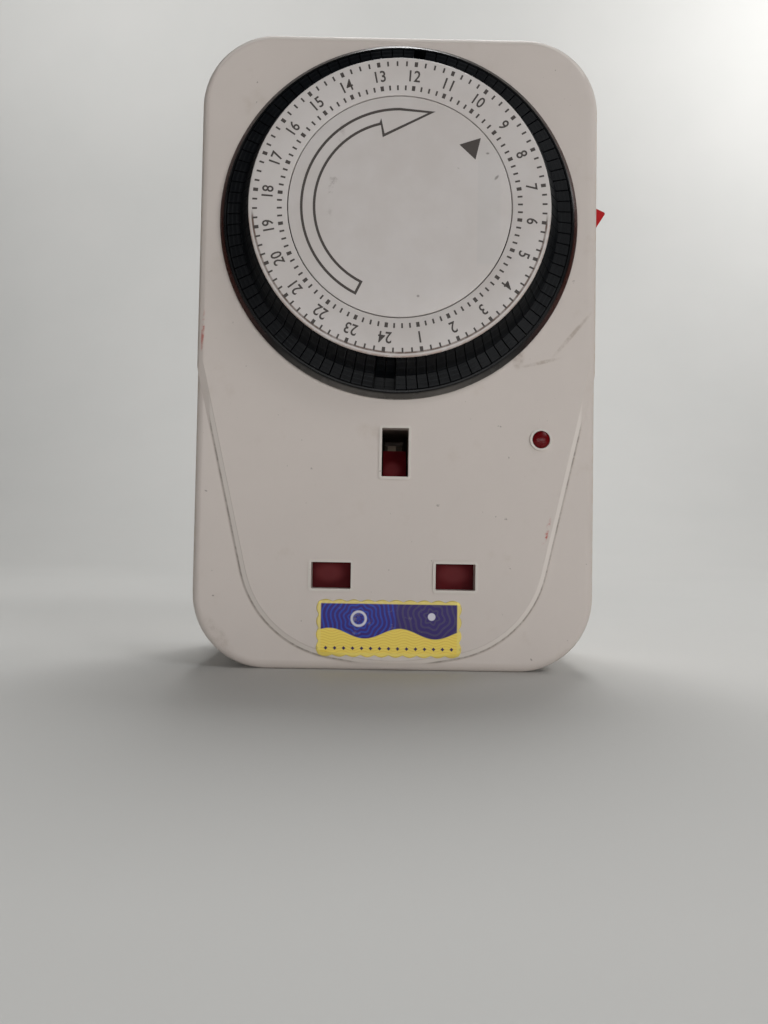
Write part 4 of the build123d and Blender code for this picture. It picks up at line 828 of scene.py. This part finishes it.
# %% Sticker finish
def sticker_finish():
    """The foil's print: rosettes in a field above a sine, lines and diamonds below it, and a border round."""
    f = Finish("sticker_foil", Specular_IOR_Level=0.25, Coat_Roughness=0.2)
    x, _, z = f.axes()
    middle_x, middle_z, half_x, half_z = STICKER
    x, z = x - middle_x, z - middle_z
    border = z + 0.9 - (x * 0.5 + 0.6).sine() * 0.9
    field = f.ramp(border, -0.06, 0.06)

    def rosette(x_middle, z_middle, pitch, petals):
        """Rings r that swing with the angle: sin(pitch r + 1.4 sin(petals a))."""
        across, up = x - x_middle, z - z_middle
        radius = (across**2.0 + up**2.0) ** 0.5
        angle = f.node("Math", {"operation": "ARCTAN2"}, up, across)
        return f.ramp((radius * pitch + (angle * petals).sine() * 1.4).sine(), 0.0, 0.7), radius

    left, left_radius = rosette(-5.4, 1.7, 8.0, 8.0)
    right, right_radius = rosette(7.6, 2.2, 6.5, 6.0)
    violet = f.mix(left * 0.8, paint(42, 14, 112), paint(18, 66, 176))
    violet = f.mix(f.ramp(x, 0.6, 1.8), violet, f.mix(right * 0.8, paint(38, 14, 100), paint(64, 56, 96)))
    hoop = f.line(left_radius, 1.25, 0.16) + (1 - f.ramp(right_radius, 0.6, 0.75))
    violet = f.mix(hoop, violet, paint(206, 204, 214))
    lines = f.ramp(((z + (x * 1.7).sine() * 0.22) * 13.0).sine(), 0.2, 0.8) * (1 - field)
    yellow = f.mix(lines * 0.4, paint(250, 222, 98), paint(222, 180, 62))
    step = f.node("Math", {"operation": "PINGPONG"}, x + 40.0, 0.8)
    diamonds = 1 - f.ramp(step + abs(z + 3.55), 0.3, 0.38)
    yellow = f.mix(diamonds, yellow, paint(44, 26, 84))
    rim = f.ramp(abs(x), half_x - 0.5, half_x - 0.3) + f.ramp(abs(z), half_z - 0.45, half_z - 0.25)
    print_colour = f.mix(rim * 0.8, f.mix(field, yellow, violet), paint(246, 224, 118))
    worn = f.ramp(f.noise(420.0, 5.0, 0.7), 0.6, 0.75)
    f.set(
        Base_Color=f.mix(worn * 0.25, print_colour, paint(206, 196, 176)),
        Roughness=0.36 + worn * 0.3,
        Metallic=field * 0.1,
        Coat_Weight=0.1,
    )
    f.bump(f.noise(900.0, 4.0, 0.6), 0.03, 0.5)
    return f.material


finishes["sticker_foil"] = sticker_finish()
print("sticker:", len(finishes["sticker_foil"].node_tree.nodes), "nodes")

# %% [markdown]
# ## Finishes onto pieces
#
# The record names a finish for each solid piece. The rounded copies and the new pieces noted theirs when they
# were made, so one loop dresses everything, also the solid pieces that nothing replaced.

# %% Giving out the finishes
for piece in [o for o in bpy.context.scene.objects if o.type == "MESH"]:
    piece.data.materials.clear()
    piece.data.materials.append(finishes[dressed.get(piece.name) or slot_of[piece.name]])

# %% [markdown]
# ## The floor
#
# A plain pale floor runs under the timer and turns up behind it, far enough away to stay soft. It is not part
# of the object. A flat plane with a wall would show a hard line at the horizon, and a quarter circle between
# them hides it.

# %% Floor
def sweep(width, front, back, radius, height, steps=24):
    """Floor that turns up behind: flat to the back, a quarter circle of a radius, then a wall."""
    turn = np.linspace(0, pi / 2, steps)
    y = np.concatenate([[front], back + radius * np.sin(turn), [back + radius]])
    z = np.concatenate([[0], radius * (1 - np.cos(turn)), [height]]) + TABLE_Z
    x = np.array([-width, width])[:, None]
    return np.stack(np.broadcast_arrays(x, y, z), axis=-1)


grid = sweep(width=3000, front=-2500, back=350, radius=700, height=3000)
floor_mesh = bpy.data.meshes.new("floor")
floor_mesh.from_pydata((grid.reshape(-1, 3) * MM).tolist(), [], quads(*grid.shape[:2]).tolist())
floor_mesh.shade_smooth()
floor = bpy.data.objects.new("floor", floor_mesh)
bpy.context.scene.collection.objects.link(floor)
table = Finish("table_pale", Roughness=0.65, Specular_IOR_Level=0.3)
table.set(Base_Color=table.mix(table.noise(9.0, 3.0), paint(214, 214, 211), paint(221, 220, 217)))
table.bump(table.noise(1400.0, 3.0), 0.02, 0.3)
floor_mesh.materials.append(table.material)
print("floor", len(floor_mesh.polygons), "faces")

# %% [markdown]
# ## The light
#
# In the photograph a window lies behind the timer: it makes the top edge bright, throws the shadow towards
# the viewer and leaves the face in soft shade. The face is lit by the room. So there are six soft panels: the
# window; the room, a wide low panel in front that grazes the floor and so keeps the shadow dark; one high on
# the right that gives the dial its soft shadow on the face; one behind on the right for the bright corner
# edge; and two that brighten the wall, more on the right than on the left.

# %% Lights
def lamp(name, place, aim, size, power):
    """A soft panel, wide by tall in mm, that looks from a place at a point: -Z runs along the difference."""
    data = bpy.data.lights.new(name, "AREA")
    data.shape, data.energy = "RECTANGLE", power
    data.size, data.size_y = (side * MM for side in size)
    light = bpy.data.objects.new(name, data)
    light.location = Vector(place) * MM
    light.rotation_mode = "QUATERNION"
    light.rotation_quaternion = (Vector(aim) - Vector(place)).to_track_quat("-Z", "Y")
    bpy.context.scene.collection.objects.link(light)
    print(name, "at", place, "mm,", power, "W")


lamp("window", (40, 310, 760), (0, -40, -60), (380, 380), 3.5)
lamp("room", (160, -960, 20), (0, -30, -30), (900, 200), 3.3)
lamp("high_right", (440, -480, 520), (0, -40, -10), (240, 240), 1.0)
lamp("side", (520, 130, 400), (30, 0, 0), (260, 260), 0.6)
lamp("wall_right", (800, 500, 850), (560, 1050, 850), (600, 600), 5.7)
lamp("wall_left", (-480, 450, 900), (-340, 1050, 900), (700, 700), 3.4)
ROOM_GLOW = 0.015
world = bpy.data.worlds.new("room_light")
world.use_nodes = True
world.node_tree.nodes["Background"].inputs["Color"].default_value = (1.0, 1.0, 1.0, 1.0)
world.node_tree.nodes["Background"].inputs["Strength"].default_value = ROOM_GLOW
bpy.context.scene.world = world

# %% [markdown]
# ## The camera
#
# The picture was taken from close by, level with the holes of the socket, with an ordinary phone lens. Three
# unit vectors give what is right, down and ahead in it, as measured from the face's own corners; together
# with the camera's place they make its matrix.

# %% Camera
camera_data = bpy.data.cameras.new("camera")
camera_data.lens, camera_data.sensor_width = 27.77, 36.0
camera = bpy.data.objects.new("camera", camera_data)
right = Vector((0.99984, -0.00658, 0.01674))
down = Vector((0.01696, 0.03402, -0.99928))
forward = Vector((0.00601, 0.9994, 0.03413))
place = Vector((-2.68, -178.39, -61.26)) * MM
camera.matrix_world = Matrix.Translation(place) @ Matrix((right, -down, -forward)).transposed().to_4x4()
camera_data.clip_start, camera_data.clip_end = 0.01, 20.0
bpy.context.scene.collection.objects.link(camera)
bpy.context.scene.camera = camera
print("camera", round((place - Vector((0, -FACE * MM, DIAL_Z * MM))).length / MM), "mm from the dial")
